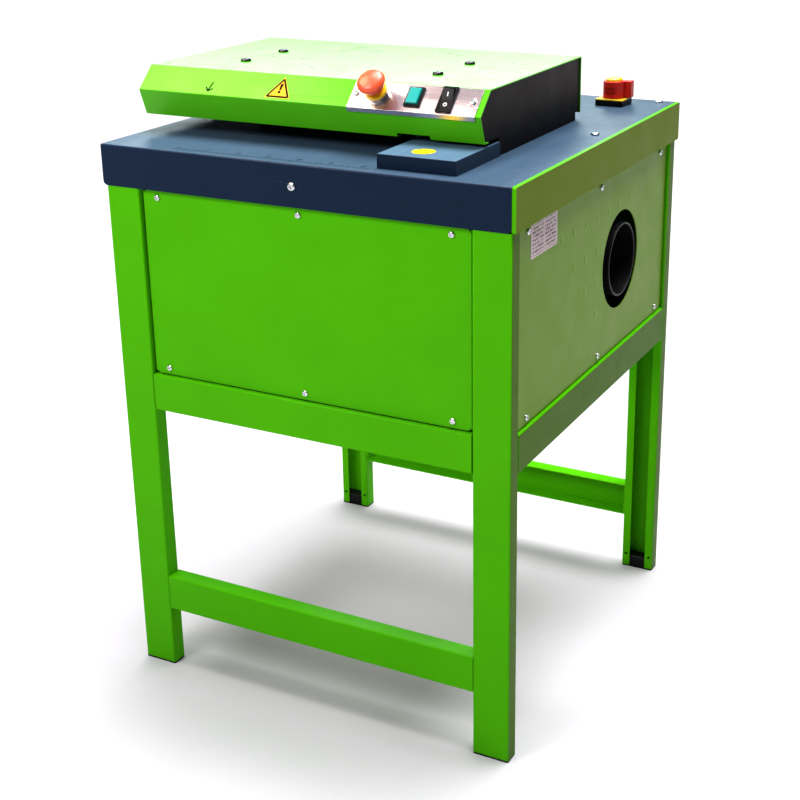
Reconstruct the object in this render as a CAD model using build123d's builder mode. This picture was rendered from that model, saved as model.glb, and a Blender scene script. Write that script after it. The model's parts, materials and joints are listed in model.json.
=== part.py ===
from build123d import *
import os
from math import hypot

os.makedirs("parts", exist_ok=True)

# Cardboard perforating machine on a sheet-metal stand.
# Millimetres. X runs to the machine's right, Y to its rear, Z up.
# The origin is on the floor, in the middle of the footprint.

# ---------------------------------------------------------------- driving dimensions
WIDTH = 640.0  # over the legs, left to right
DEPTH = 650.0  # over the legs, front to rear
TABLE_Z = 840.0  # working surface above the floor
SHEET = 2.0  # frame and table sheet
HOOD_SHEET = 2.0
THIN = 1.5  # panel sheet
BEND = 3.0  # outside bend radius

LEG_WEB = 56.0
LEG_FLANGE = 26.0
LEG_LIP = 14.0
FOOT = 2.5  # thickness of the foot cap under the leg
PLUG = 18.0  # height of the foot cap's plug inside the leg
APRON = 60.0  # depth of the table's front apron and of the side rails
RAIL = 57.0  # height of stretchers and middle rails
STRETCHER_Z = 100.5  # underside of the lower stretchers
MIDDLE_Z = 440.0  # underside of the middle rails
RAIL_GAP = 1.3  # joint line between a rail and a leg
OVERHANG = 5.0  # the table reaches this far past the legs, left and right

FRONT_RECESS = 7.0  # front and rear panels lie this far behind the legs' faces
SIDE_RECESS = 5.0  # side panels
PANEL_GAP = 4.0
PANEL_CORNER = 8.0

# Head: the hood's section, as (y, z) of its outer bends
HOOD_LEFT, HOOD_RIGHT = -325.0, 231.0
HOOD_TOP = 935.0
HOOD_FRONT_Y = -197.0  # top front bend
NOSE_Y, NOSE_Z = -230.0, 903.0
LIP_Y, LIP_Z = -216.0, 865.0
HOOD_REAR_Y = 127.0
HOOD_REAR_Z = 850.0

# Cutters
LOWER_Z = 816.0  # lower shaft axis
UPPER_Z = 872.0  # upper shaft axis
SHAFT_R = 15.0
HUB_R = 20.0
DISC_R = 30.0
DISC_T = 4.0
DISCS = 24
DISC_PITCH = 12.0
THROAT_LEFT, THROAT_RIGHT = -182.0, 118.0  # between the head's side plates
SIDE_PLATE = 8.0
BEARING_R = 21.0
RUNNING = 0.05  # radial running clearance

# Dust port on the right side
PORT_Y, PORT_Z = 92.0, 637.0
PORT_HOLE_R = 76.0
PIPE_R = 57.5
PIPE_WALL = 4.0

LEG_X = (WIDTH - LEG_WEB) / 2
LEG_Y = (DEPTH - LEG_FLANGE) / 2
RAIL_TOP_Z = TABLE_Z - APRON
FACET = hypot(HOOD_FRONT_Y - NOSE_Y, HOOD_TOP - NOSE_Z)


def save(piece, name):
    piece.part.label = name
    export_step(piece.part, f"parts/{name}.step")


def facet(x, along, lift=0.0):
    """Plane on the hood's slanted front facet: x across, along from the top bend to the nose.

    Its Z leaves the sheet; its Y points up the slope.
    """
    slope = ((HOOD_FRONT_Y - NOSE_Y) / FACET, (HOOD_TOP - NOSE_Z) / FACET)
    out = (-slope[1], slope[0])
    y = HOOD_FRONT_Y - slope[0] * along + out[0] * lift
    z = HOOD_TOP - slope[1] * along + out[1] * lift
    return Plane(origin=(x, y, z), x_dir=(1, 0, 0), z_dir=(0, out[0], out[1]))


# ---------------------------------------------------------------- stand
def leg(name, x, y):
    """Lipped channel, its web outward and its slot towards the middle of the stand."""
    inward = -1 if y > 0 else 1
    inside_web = LEG_WEB - 2 * SHEET
    slot = LEG_WEB - 2 * LEG_LIP
    lip_y = y + inward * (LEG_FLANGE / 2 - SHEET / 2)
    hole_r, hole_z = 2.5, 24.0
    with BuildPart() as part:
        with BuildSketch(Plane.XY.offset(FOOT)):
            with Locations((x, y)):
                RectangleRounded(LEG_WEB, LEG_FLANGE, BEND)
                Rectangle(inside_web, LEG_FLANGE - 2 * SHEET, mode=Mode.SUBTRACT)
            with Locations((x, lip_y)):
                Rectangle(slot, 2 * SHEET, mode=Mode.SUBTRACT)
        extrude(amount=RAIL_TOP_Z - FOOT)
        with BuildSketch(Plane.XZ.offset(-lip_y)):
            with Locations((x - (slot + LEG_LIP) / 2, hole_z), (x + (slot + LEG_LIP) / 2, hole_z)):
                Circle(hole_r)
        extrude(amount=SHEET, both=True, mode=Mode.SUBTRACT)
    save(part, name)


CORNERS = {
    "front_left": (-LEG_X, -LEG_Y),
    "front_right": (LEG_X, -LEG_Y),
    "rear_left": (-LEG_X, LEG_Y),
    "rear_right": (LEG_X, LEG_Y),
}
for corner, (corner_x, corner_y) in CORNERS.items():
    leg(f"leg_{corner}", corner_x, corner_y)

# Plastic foot caps: a plate under each leg with a plug inside the channel
with BuildPart() as foot_caps:
    plug_room, plug_chamfer = 0.2, 1.0
    with BuildSketch():
        with Locations(*CORNERS.values()):
            RectangleRounded(LEG_WEB, LEG_FLANGE, BEND)
    extrude(amount=FOOT)
    with BuildSketch(Plane.XY.offset(FOOT)):
        with Locations(*CORNERS.values()):
            Rectangle(
                LEG_WEB - 2 * SHEET - 2 * plug_room, LEG_FLANGE - 2 * SHEET - 2 * plug_room
            )
    extrude(amount=PLUG)
    chamfer(foot_caps.edges().group_by(Axis.Z)[-1], plug_chamfer)
save(foot_caps, "foot_caps")


def rail(name, outward, length, face, bottom, gap, holes=False):
    """Channel between two legs, its web flush with their faces and its flanges inward.

    outward is the direction its web faces. Two end tabs, set back from the web, reach the legs.
    """
    section = Plane(origin=outward * face, x_dir=(0, 0, 1), z_dir=outward.cross(Vector(0, 0, 1)))
    # in this plane x is up and y points outward or inward, so the depth is drawn on the inner side
    inner = 1 if section.y_dir.dot(outward) < 0 else -1
    tab_depth, tab_height = 18.0, RAIL - 2 * SHEET
    tab_setback = 5.0
    hole_r, hole_pitch = 2.5, 40.0
    half = length / 2
    with BuildPart() as channel:
        with BuildSketch(section):
            with Locations((bottom + RAIL / 2, inner * LEG_FLANGE / 2)):
                Rectangle(RAIL, LEG_FLANGE)
            with Locations((bottom + RAIL / 2, inner * (LEG_FLANGE / 2 + SHEET))):
                Rectangle(RAIL - 2 * SHEET, LEG_FLANGE, mode=Mode.SUBTRACT)
        extrude(amount=half - gap, both=True)
        with BuildSketch(section.offset(half - gap - SHEET), section.offset(-half)):
            with Locations((bottom + RAIL / 2, inner * (tab_setback + tab_depth / 2))):
                Rectangle(tab_height, tab_depth)
        extrude(amount=SHEET + gap)
        long_edges = channel.edges().filter_by(GeomType.LINE).filter_by(
            lambda e: abs(e.length - 2 * (half - gap)) < 0.1
        )
        outer = long_edges.sort_by(lambda e: e.center().dot(outward))[-2:]
        fillet(outer, BEND - 0.5)
        if holes:
            with BuildSketch(Plane.XY.offset(bottom)):
                with Locations(outward * (face - 0.6 * LEG_FLANGE)):
                    with GridLocations(hole_pitch, 0.0, 2, 1):
                        Circle(hole_r)
            extrude(amount=SHEET, both=True, mode=Mode.SUBTRACT)
    save(channel, name)


FRONT, REAR = Vector(0, -1, 0), Vector(0, 1, 0)
LEFT, RIGHT = Vector(-1, 0, 0), Vector(1, 0, 0)
ACROSS = WIDTH - 2 * LEG_WEB
ALONG = DEPTH - 2 * LEG_FLANGE
rail("stretcher_front", FRONT, ACROSS, DEPTH / 2, STRETCHER_Z, 0.0, holes=True)
rail("stretcher_rear", REAR, ACROSS, DEPTH / 2, STRETCHER_Z, 0.0, holes=True)
rail("rail_front", FRONT, ACROSS, DEPTH / 2, MIDDLE_Z, RAIL_GAP)
rail("rail_rear", REAR, ACROSS, DEPTH / 2, MIDDLE_Z, RAIL_GAP)
rail("rail_left", LEFT, ALONG, WIDTH / 2, MIDDLE_Z, RAIL_GAP)
rail("rail_right", RIGHT, ALONG, WIDTH / 2, MIDDLE_Z, RAIL_GAP)

# Side rails under the table's edges. The right one's top flange shows beside the table.
SIDE_FLANGE = 6.0
RIGHT_EDGE = WIDTH / 2 + OVERHANG


def side_rail(name, side, outer_x, top, length):
    """Shallow tray on edge: web outward, flange all round."""
    height = top - RAIL_TOP_Z
    middle_z = (top + RAIL_TOP_Z) / 2
    with BuildPart() as tray:
        with BuildSketch(Plane.YZ.offset(side * outer_x)):
            with Locations((0, middle_z)):
                RectangleRounded(length, height, BEND)
        extrude(amount=-side * SIDE_FLANGE)
        with BuildSketch(Plane.YZ.offset(side * (outer_x - SHEET))):
            with Locations((0, middle_z)):
                Rectangle(length - 2 * SHEET, height - 2 * SHEET)
        extrude(amount=-side * SIDE_FLANGE, mode=Mode.SUBTRACT)
    save(tray, name)


side_rail("side_rail_left", -1, WIDTH / 2 + OVERHANG, TABLE_Z - SHEET, DEPTH - 2 * SHEET)
side_rail("side_rail_right", 1, RIGHT_EDGE, TABLE_Z, DEPTH)

# ---------------------------------------------------------------- cabinet panels
PANEL_EDGE_GAP = 2.0  # above the middle rails and below the aprons
PANEL_BOTTOM = MIDDLE_Z + RAIL + PANEL_EDGE_GAP
PANEL_TOP = RAIL_TOP_Z - PANEL_EDGE_GAP
PANEL_MID_Z = (PANEL_BOTTOM + PANEL_TOP) / 2
PANEL_HEIGHT = PANEL_TOP - PANEL_BOTTOM
SCREW_DROP = 10.0  # panel screws from the panel's top and bottom edges
FRONT_SCREW_X = (-236.0, 0.0, 232.0)
SIDE_SCREW_Y = (-264.0, 2.0, 264.0)
SCREW_Z = (PANEL_BOTTOM + SCREW_DROP, PANEL_TOP - SCREW_DROP)


def panel(name, plane, width, screw_places, hole=None):
    """Flat cover, rounded at the corners, with six clearance holes for its screws."""
    screw_hole_r, edge_round = 2.3, 0.5
    with BuildPart() as cover:
        with BuildSketch(plane):
            with Locations((0, PANEL_MID_Z)):
                RectangleRounded(width, PANEL_HEIGHT, PANEL_CORNER)
            with Locations(*[(u, z) for u in screw_places for z in SCREW_Z]):
                Circle(screw_hole_r, mode=Mode.SUBTRACT)
            if hole:
                with Locations(hole):
                    Circle(PORT_HOLE_R, mode=Mode.SUBTRACT)
        extrude(amount=-THIN)
        if not hole:
            fillet(cover.faces().sort_by(SortBy.AREA)[-1].outer_wire().edges(), edge_round)
    save(cover, name)


FRONT_PANEL_Y = DEPTH / 2 - FRONT_RECESS
SIDE_PANEL_X = WIDTH / 2 - SIDE_RECESS
FRONT_PLANE = Plane(origin=(0, -FRONT_PANEL_Y, 0), x_dir=(1, 0, 0), z_dir=(0, -1, 0))
REAR_PLANE = Plane(origin=(0, FRONT_PANEL_Y, 0), x_dir=(-1, 0, 0), z_dir=(0, 1, 0))
RIGHT_PLANE = Plane(origin=(SIDE_PANEL_X, 0, 0), x_dir=(0, 1, 0), z_dir=(1, 0, 0))
LEFT_PLANE = Plane(origin=(-SIDE_PANEL_X, 0, 0), x_dir=(0, -1, 0), z_dir=(-1, 0, 0))
panel("panel_front", FRONT_PLANE, ACROSS - 2 * PANEL_GAP, FRONT_SCREW_X)
panel("panel_rear", REAR_PLANE, ACROSS - 2 * PANEL_GAP, FRONT_SCREW_X)
panel("panel_left", LEFT_PLANE, ALONG - 2 * PANEL_GAP, SIDE_SCREW_Y)
panel("panel_right", RIGHT_PLANE, ALONG - 2 * PANEL_GAP, SIDE_SCREW_Y, hole=(PORT_Y, PORT_Z))


def pan_head(plane, places, head_r, head_h, shank_r, shank_l, dome):
    """Cross-recess pan-head screws standing on a plane: one solid each."""
    slot_w, slot_l = head_r * 0.28, head_r * 1.1
    with BuildPart() as screws:
        with BuildSketch(plane):
            with Locations(*places):
                Circle(head_r)
        extrude(amount=head_h)
        top_rims = screws.edges().filter_by(GeomType.CIRCLE).group_by(plane_axis(plane))[-1]
        fillet(top_rims, dome)
        with BuildSketch(plane):
            with Locations(*places):
                Circle(shank_r)
        extrude(amount=-shank_l)
        with BuildSketch(plane.offset(head_h)):
            with Locations(*places):
                Rectangle(slot_w, slot_l)
                Rectangle(slot_l, slot_w)
        extrude(amount=-head_h * 0.5, mode=Mode.SUBTRACT)
    return screws


def plane_axis(plane):
    return Axis(plane.origin, plane.z_dir)


# Angle strips behind the panels take their screws
with BuildPart() as panel_strips:
    strip, strip_t = 34.0, 2.0
    strip_height = PANEL_HEIGHT - 4.0
    side_setback = 8.0  # keeps the side strips clear of the front and rear ones
    screw_r, screw_depth = 2.0, 12.0
    for side in (-1, 1):
        for end in (-1, 1):
            with BuildSketch(Plane.XZ.offset(side * (FRONT_PANEL_Y - THIN))):
                with Locations((end * (ACROSS / 2 - strip / 2 - strip_t), PANEL_MID_Z)):
                    Rectangle(strip, strip_height)
            extrude(amount=-side * strip_t)
            with BuildSketch(Plane.YZ.offset(side * (SIDE_PANEL_X - THIN))):
                with Locations((end * (ALONG / 2 - strip / 2 - strip_t - side_setback), PANEL_MID_Z)):
                    Rectangle(strip, strip_height)
            extrude(amount=-side * strip_t)
    for plane, places in (
        (FRONT_PLANE, FRONT_SCREW_X),
        (REAR_PLANE, FRONT_SCREW_X),
        (LEFT_PLANE, SIDE_SCREW_Y),
        (RIGHT_PLANE, SIDE_SCREW_Y),
    ):
        with BuildSketch(plane):
            with Locations(*[(u, z) for u in places for z in SCREW_Z]):
                Circle(screw_r)
        extrude(amount=-screw_depth, mode=Mode.SUBTRACT)
save(panel_strips, "panel_strips")

# Cabinet floor: a sheet that lies on the middle rails' lower flanges
with BuildPart() as cabinet_floor:
    edge_room = 0.5
    corner_room = 4.0
    with BuildSketch(Plane.XY.offset(MIDDLE_Z + SHEET)):
        Rectangle(WIDTH - 2 * SHEET - 2 * edge_room, DEPTH - 2 * SHEET - 2 * edge_room)
        with GridLocations(WIDTH, DEPTH, 2, 2):
            Rectangle(
                2 * (LEG_WEB + corner_room), 2 * (LEG_FLANGE + corner_room), mode=Mode.SUBTRACT
            )
    extrude(amount=THIN)
save(cabinet_floor, "cabinet_floor")

# ---------------------------------------------------------------- table
TABLE_LEFT = -(WIDTH / 2 + OVERHANG)
TABLE_RIGHT = RIGHT_EDGE - SIDE_FLANGE
TABLE_Y = DEPTH / 2 + 1.0  # the aprons stand a millimetre proud of the legs
WINDOW_Y = 37.0  # half the cutter window
DRIVE_WINDOW_Y = 60.0  # half the window under the gears
DRIVE_RIGHT = 226.0
TABLE_SCREW_X = (TABLE_LEFT + 24.0, TABLE_RIGHT - 23.0)
TABLE_SCREW_Y = (20.0, 308.0)
TABLE_SCREW_R = 3.0
APRON_SCREW_X = (TABLE_LEFT + TABLE_RIGHT) / 2
APRON_SCREW_Z = TABLE_Z - 31.0
WINDOW_ROOM = 1.0  # beside the head's side plates
APRON_CORNER = 7.0
with BuildPart() as table_top:
    with BuildSketch(Plane.YZ.offset(TABLE_LEFT)) as table_section:
        with Locations((0, TABLE_Z - APRON / 2)):
            Rectangle(2 * TABLE_Y, APRON)
        fillet(table_section.vertices().group_by(Axis.Y)[-1], BEND)
        with Locations((0, TABLE_Z - APRON / 2 - SHEET)):
            Rectangle(2 * (TABLE_Y - SHEET), APRON, mode=Mode.SUBTRACT)
    extrude(amount=TABLE_RIGHT - TABLE_LEFT)
    with BuildSketch(Plane.XY.offset(TABLE_Z)):
        window_left = THROAT_LEFT - SIDE_PLATE - WINDOW_ROOM
        window_right = THROAT_RIGHT + SIDE_PLATE + WINDOW_ROOM
        with Locations(((window_left + window_right) / 2, 0)):
            Rectangle(window_right - window_left, 2 * WINDOW_Y)
        with Locations(((window_right + DRIVE_RIGHT) / 2, 0)):
            Rectangle(DRIVE_RIGHT - window_right, 2 * DRIVE_WINDOW_Y)
        with Locations(*[(x, y) for x in TABLE_SCREW_X for y in TABLE_SCREW_Y]):
            Circle(TABLE_SCREW_R)
    extrude(amount=-2 * SHEET, mode=Mode.SUBTRACT)
    with BuildSketch(Plane.XZ):
        with Locations((APRON_SCREW_X, APRON_SCREW_Z)):
            Circle(TABLE_SCREW_R)
    extrude(amount=DEPTH, both=True, mode=Mode.SUBTRACT)
    # rounded corners at the aprons' ends
    apron_corners = table_top.edges().filter_by(Axis.Y).filter_by(
        lambda e: e.length < 2 * SHEET and e.center().Z < RAIL_TOP_Z + 1
    )
    fillet(apron_corners, APRON_CORNER)
save(table_top, "table_top")

# Large screws: one through each apron, four near the table's edges
def table_screws():
    head_r, head_h, shank_r, dome = 6.0, 3.2, TABLE_SCREW_R - 0.1, 2.2
    table_plane = Plane.XY.offset(TABLE_Z)
    front = Plane(origin=(0, -TABLE_Y, 0), x_dir=(1, 0, 0), z_dir=(0, -1, 0))
    rear = Plane(origin=(0, TABLE_Y, 0), x_dir=(-1, 0, 0), z_dir=(0, 1, 0))
    group = pan_head(
        table_plane,
        [(x, y) for x in TABLE_SCREW_X for y in TABLE_SCREW_Y],
        head_r,
        head_h,
        shank_r,
        SHEET,
        dome,
    ).part.solids()
    for plane, u in ((front, APRON_SCREW_X), (rear, -APRON_SCREW_X)):
        spots = [(u, APRON_SCREW_Z)]
        group += pan_head(plane, spots, head_r, head_h, shank_r, SHEET, dome).part.solids()
    with BuildPart() as screws:
        add(group)
    save(screws, "table_screws")


table_screws()

# ---------------------------------------------------------------- dust extraction
PIPE_END = SIDE_PANEL_X + 2.7  # the rim stands just proud of the side panel
PIPE_START = 60.0
RIM_ROUND = 1.4
BEAD_SETBACK, BEAD_WIDTH, BEAD_HEIGHT = 26.0, 4.0, 2.5
with BuildPart() as dust_pipe:
    with BuildSketch(Plane.YZ.offset(PIPE_START)):
        with Locations((PORT_Y, PORT_Z)):
            Circle(PIPE_R)
            Circle(PIPE_R - PIPE_WALL, mode=Mode.SUBTRACT)
    extrude(amount=PIPE_END - PIPE_START)
    rim = dust_pipe.edges().filter_by(GeomType.CIRCLE).group_by(Axis.X)[-1]
    fillet(rim, RIM_ROUND)
    # rolled bead a little way in from the rim
    with BuildSketch(Plane.YZ.offset(PIPE_END - BEAD_SETBACK)):
        with Locations((PORT_Y, PORT_Z)):
            Circle(PIPE_R + BEAD_HEIGHT)
            Circle(PIPE_R - PIPE_WALL / 2, mode=Mode.SUBTRACT)
    extrude(amount=BEAD_WIDTH)
save(dust_pipe, "dust_pipe")

# Hopper below the cutters: a tapered chute that ends in the pipe's socket
HOPPER_TOP = 770.0
HOPPER_WALL = 2.0
with BuildPart() as dust_hopper:
    socket_x = PIPE_START
    chute_x = (THROAT_LEFT + THROAT_RIGHT) / 2
    chute_room = 4.0  # from the chute to the inside of each side plate
    chute_width = THROAT_RIGHT - THROAT_LEFT - 2 * chute_room
    chute_depth = 130.0
    box_width, box_depth = 170.0, 150.0
    box_bottom, box_top = 565.0, 710.0
    box_shift = 20.0  # the box lies this far in front of the pipe's axis
    box_x, box_y = socket_x - box_width / 2, PORT_Y - box_shift
    for inset, mode in ((0.0, Mode.ADD), (HOPPER_WALL, Mode.SUBTRACT)):
        with BuildSketch(Plane.XY.offset(HOPPER_TOP)):
            with Locations((chute_x, 0)):
                Rectangle(chute_width - 2 * inset, chute_depth - 2 * inset)
        with BuildSketch(Plane.XY.offset(box_top)):
            with Locations((box_x, box_y)):
                Rectangle(box_width - 2 * inset, box_depth - 2 * inset)
        loft(mode=mode)
        with BuildSketch(Plane.XY.offset(box_bottom + inset)):
            with Locations((box_x, box_y)):
                Rectangle(box_width - 2 * inset, box_depth - 2 * inset)
        extrude(amount=box_top - box_bottom - inset, mode=mode)
    with BuildSketch(Plane.YZ.offset(socket_x - 3 * HOPPER_WALL)):
        with Locations((PORT_Y, PORT_Z)):
            Circle(PIPE_R - PIPE_WALL)
    extrude(amount=6 * HOPPER_WALL, mode=Mode.SUBTRACT)
save(dust_hopper, "dust_hopper")

# Rating label on the right panel, beside the front screw
LABEL_Y, LABEL_Z = -210.0, 751.0
LABEL_W, LABEL_H, LABEL_T = 90.0, 48.0, 0.4
LABEL_CORNER = 1.5
with BuildPart() as rating_label:
    with BuildSketch(Plane.YZ.offset(SIDE_PANEL_X)):
        with Locations((LABEL_Y, LABEL_Z)):
            RectangleRounded(LABEL_W, LABEL_H, LABEL_CORNER)
    extrude(amount=LABEL_T)
save(rating_label, "rating_label")

# ---------------------------------------------------------------- head: side plates and hood
PLATE_TOP = 925.0
PLATE_FRONT, PLATE_REAR = -120.0, 100.0
FENCE_FRONT = -166.0  # the right plate runs forward to the guide block
PLATE_NECK = WINDOW_Y - 1.0
PLATE_FOOT_Z = 776.0
STANDOFF = 0.3
LEFT_PLATE_X = THROAT_LEFT - SIDE_PLATE


def side_plate(name, x, front):
    """Steel plate that carries both shafts. Its neck passes down through the table."""
    with BuildPart() as plate:
        with BuildSketch(Plane.YZ.offset(x)):
            with Locations(((front + PLATE_REAR) / 2, (TABLE_Z + STANDOFF + PLATE_TOP) / 2)):
                Rectangle(PLATE_REAR - front, PLATE_TOP - TABLE_Z - STANDOFF)
            with Locations((0, (PLATE_FOOT_Z + TABLE_Z + STANDOFF) / 2)):
                Rectangle(2 * PLATE_NECK, TABLE_Z + STANDOFF - PLATE_FOOT_Z)
            with Locations((0, LOWER_Z), (0, UPPER_Z)):
                Circle(BEARING_R, mode=Mode.SUBTRACT)
        extrude(amount=SIDE_PLATE)
    save(plate, name)


side_plate("side_plate_left", LEFT_PLATE_X, PLATE_FRONT)
side_plate("side_plate_right", THROAT_RIGHT, FENCE_FRONT)

with BuildPart() as bearings:
    for plate_x in (LEFT_PLATE_X, THROAT_RIGHT):
        with BuildSketch(Plane.YZ.offset(plate_x)):
            with Locations((0, LOWER_Z), (0, UPPER_Z)):
                Circle(BEARING_R)
                Circle(SHAFT_R + RUNNING, mode=Mode.SUBTRACT)
        extrude(amount=SIDE_PLATE)
save(bearings, "bearings")


def hood_profile(inset):
    """The hood's outline in Y and Z, moved inward by the inset."""
    with BuildSketch() as outline:
        with BuildLine():
            Polyline(
                (HOOD_REAR_Y, HOOD_REAR_Z),
                (HOOD_REAR_Y, HOOD_TOP),
                (HOOD_FRONT_Y, HOOD_TOP),
                (NOSE_Y, NOSE_Z),
                (LIP_Y, LIP_Z),
                close=True,
            )
        make_face()
        if inset:
            offset(amount=-inset, kind=Kind.INTERSECTION)
    return outline.sketch


def control_openings(inset):
    """Holes through the facet behind the three controls, as a sketch on it."""
    with BuildSketch(facet(0, FACET / 2, HOOD_SHEET)) as openings:
        with Locations((ESTOP_X, 0)):
            Circle(ESTOP_BODY_R + inset)
        for x, width, height in ((START_X, START_W, START_H), (ROCKER_X, ROCKER_W, ROCKER_H)):
            with Locations((x, 0)):
                Rectangle(width - 2 * BEZEL + 2 * inset, height - 2 * BEZEL + 2 * inset)
    return openings.sketch


ESTOP_X, START_X, ROCKER_X = 71.0, 126.5, 175.5
ESTOP_BODY_R = 11.0
START_W, START_H = 24.0, 32.0
ROCKER_W, ROCKER_H = 23.0, 42.0
BEZEL = 2.0  # each switch's frame laps this far over its hole
HOLE_ROOM = 0.15

FACET_SECTION = Plane.YZ.offset(HOOD_LEFT)
NOTCH_X, NOTCH_W, NOTCH_H = 125.0, 50.0, 5.0
OUTLET_TOP = 866.0
LIP_RETURN, REAR_RETURN = 12.0, 2.0  # sheet left under the hood, front and rear
HOOD_BEND = 1.9
with BuildPart() as hood:
    with BuildSketch(FACET_SECTION):
        add(hood_profile(0.0))
        add(hood_profile(HOOD_SHEET), mode=Mode.SUBTRACT)
        # open underneath, apart from a short return along the front lip
        under_front, under_rear = LIP_Y + LIP_RETURN, HOOD_REAR_Y - REAR_RETURN
        with Locations(((under_front + under_rear) / 2, HOOD_REAR_Z + HOOD_SHEET)):
            Rectangle(under_rear - under_front, 2 * (LIP_Z - HOOD_REAR_Z), mode=Mode.SUBTRACT)
    extrude(amount=HOOD_RIGHT - HOOD_LEFT)
    bends = hood.edges().filter_by(Axis.X).filter_by(lambda e: e.length > 500)
    outer_bends = [
        e
        for e in bends
        for y, z in ((HOOD_FRONT_Y, HOOD_TOP), (NOSE_Y, NOSE_Z), (HOOD_REAR_Y, HOOD_TOP))
        if hypot(e.center().Y - y, e.center().Z - z) < 0.1
    ]
    fillet(outer_bends, HOOD_BEND)
    extrude(control_openings(HOLE_ROOM), amount=-3 * HOOD_SHEET, mode=Mode.SUBTRACT)
    with BuildSketch(Plane.XZ.offset(-LIP_Y)):
        with Locations((NOTCH_X, LIP_Z)):
            Rectangle(NOTCH_W, 2 * NOTCH_H)
    extrude(amount=2 * LIP_RETURN, both=True, mode=Mode.SUBTRACT)
    with BuildSketch(Plane.XZ.offset(-HOOD_REAR_Y)):
        with Locations(((THROAT_LEFT + THROAT_RIGHT) / 2, HOOD_REAR_Z)):
            Rectangle(THROAT_RIGHT - THROAT_LEFT, 2 * (OUTLET_TOP - HOOD_REAR_Z))
    extrude(amount=2 * HOOD_SHEET, both=True, mode=Mode.SUBTRACT)
save(hood, "hood")

# End plates close the hood. The right one also stands on the table.
END_INSET = 2.0
STEP_FRONT, STEP_REAR = -167.0, 111.0
with BuildPart() as end_plate_right:
    with BuildSketch(Plane.YZ.offset(HOOD_RIGHT - END_INSET)):
        add(hood_profile(HOOD_SHEET))
        with Locations(((STEP_FRONT + STEP_REAR) / 2, (TABLE_Z + LIP_Z) / 2)):
            Rectangle(STEP_REAR - STEP_FRONT, LIP_Z - TABLE_Z)
    extrude(amount=-HOOD_SHEET)
save(end_plate_right, "end_plate_right")

with BuildPart() as end_plate_left:
    with BuildSketch(Plane.YZ.offset(HOOD_LEFT + END_INSET)):
        add(hood_profile(HOOD_SHEET))
        with Locations(((LIP_Y + HOOD_REAR_Y) / 2, HOOD_REAR_Z)):
            Rectangle(
                HOOD_REAR_Y - NOSE_Y, 2 * (LIP_Z + HOOD_SHEET - HOOD_REAR_Z), mode=Mode.SUBTRACT
            )
    extrude(amount=HOOD_SHEET)
save(end_plate_left, "end_plate_left")

# Closing sheet under the overhanging left end of the hood
with BuildPart() as hood_underside:
    with BuildSketch(Plane.XY.offset(LIP_Z + HOOD_SHEET)):
        front, rear = LIP_Y + 2 * HOOD_SHEET, HOOD_REAR_Y - HOOD_SHEET
        left, right = HOOD_LEFT + END_INSET + HOOD_SHEET, LEFT_PLATE_X - SIDE_PLATE
        with Locations(((left + right) / 2, (front + rear) / 2)):
            Rectangle(right - left, rear - front)
    extrude(amount=HOOD_SHEET)
save(hood_underside, "hood_underside")

# Round tie bars between the side plates, and two flat bars on top of them that carry the hood
HOOD_SCREW_X = (-213.0, 110.0)
HOOD_SCREW_Y = (-113.0, -10.0)
BAR_W, BAR_LEFT, BAR_RIGHT = 20.0, -228.0, 128.0
BAR_X = (BAR_LEFT + BAR_RIGHT) / 2
TIE_R = 7.0
TIE_INSET = 20.0  # from the side plates' edges
with BuildPart() as head_bars:
    for bar_y in HOOD_SCREW_Y:
        with BuildSketch(Plane.XY.offset(PLATE_TOP)):
            with Locations((BAR_X, bar_y)):
                SlotOverall(BAR_RIGHT - BAR_LEFT, BAR_W)
        extrude(amount=HOOD_TOP - HOOD_SHEET - PLATE_TOP)
    with BuildSketch(Plane.YZ.offset(THROAT_LEFT)):
        for tie_y in (PLATE_FRONT + TIE_INSET, PLATE_REAR - TIE_INSET):
            with Locations((tie_y, PLATE_TOP - TIE_INSET)):
                Circle(TIE_R)
    extrude(amount=THROAT_RIGHT - THROAT_LEFT)
save(head_bars, "head_bars")

# Button-head screws, each with a hexagon socket
HOOD_SCREW_R, HOOD_SCREW_H, HOOD_SCREW_DOME = 8.0, 4.6, 3.6
SOCKET_R, SOCKET_DEPTH = 2.6, 2.6
with BuildPart() as hood_screws:
    with BuildSketch(Plane.XY.offset(HOOD_TOP)):
        with Locations(*[(x, y) for x in HOOD_SCREW_X for y in HOOD_SCREW_Y]):
            Circle(HOOD_SCREW_R)
    extrude(amount=HOOD_SCREW_H)
    fillet(hood_screws.edges().filter_by(GeomType.CIRCLE).group_by(Axis.Z)[-1], HOOD_SCREW_DOME)
    with BuildSketch(Plane.XY.offset(HOOD_TOP + HOOD_SCREW_H)):
        with Locations(*[(x, y) for x in HOOD_SCREW_X for y in HOOD_SCREW_Y]):
            RegularPolygon(SOCKET_R, 6)
    extrude(amount=-SOCKET_DEPTH, mode=Mode.SUBTRACT)
save(hood_screws, "hood_screws")

# ---------------------------------------------------------------- cutters
TOOTH_NOTCHES = 9
DISC_X = THROAT_LEFT + DISC_PITCH  # first lower disc's middle
SHAFT_END = 5.0  # each shaft reaches this far past the left plate
HUB_ROOM = 2.0  # from the hub to each side plate
GEAR_X = THROAT_RIGHT + SIDE_PLATE + 5.0
GEAR_T = 16.0
GEAR_TEETH = 14
SHAFT_SPARE = 4.0  # shaft past the gear or the gearbox
GEARBOX_X = 165.0
GEARBOX_W = 50.0


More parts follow.
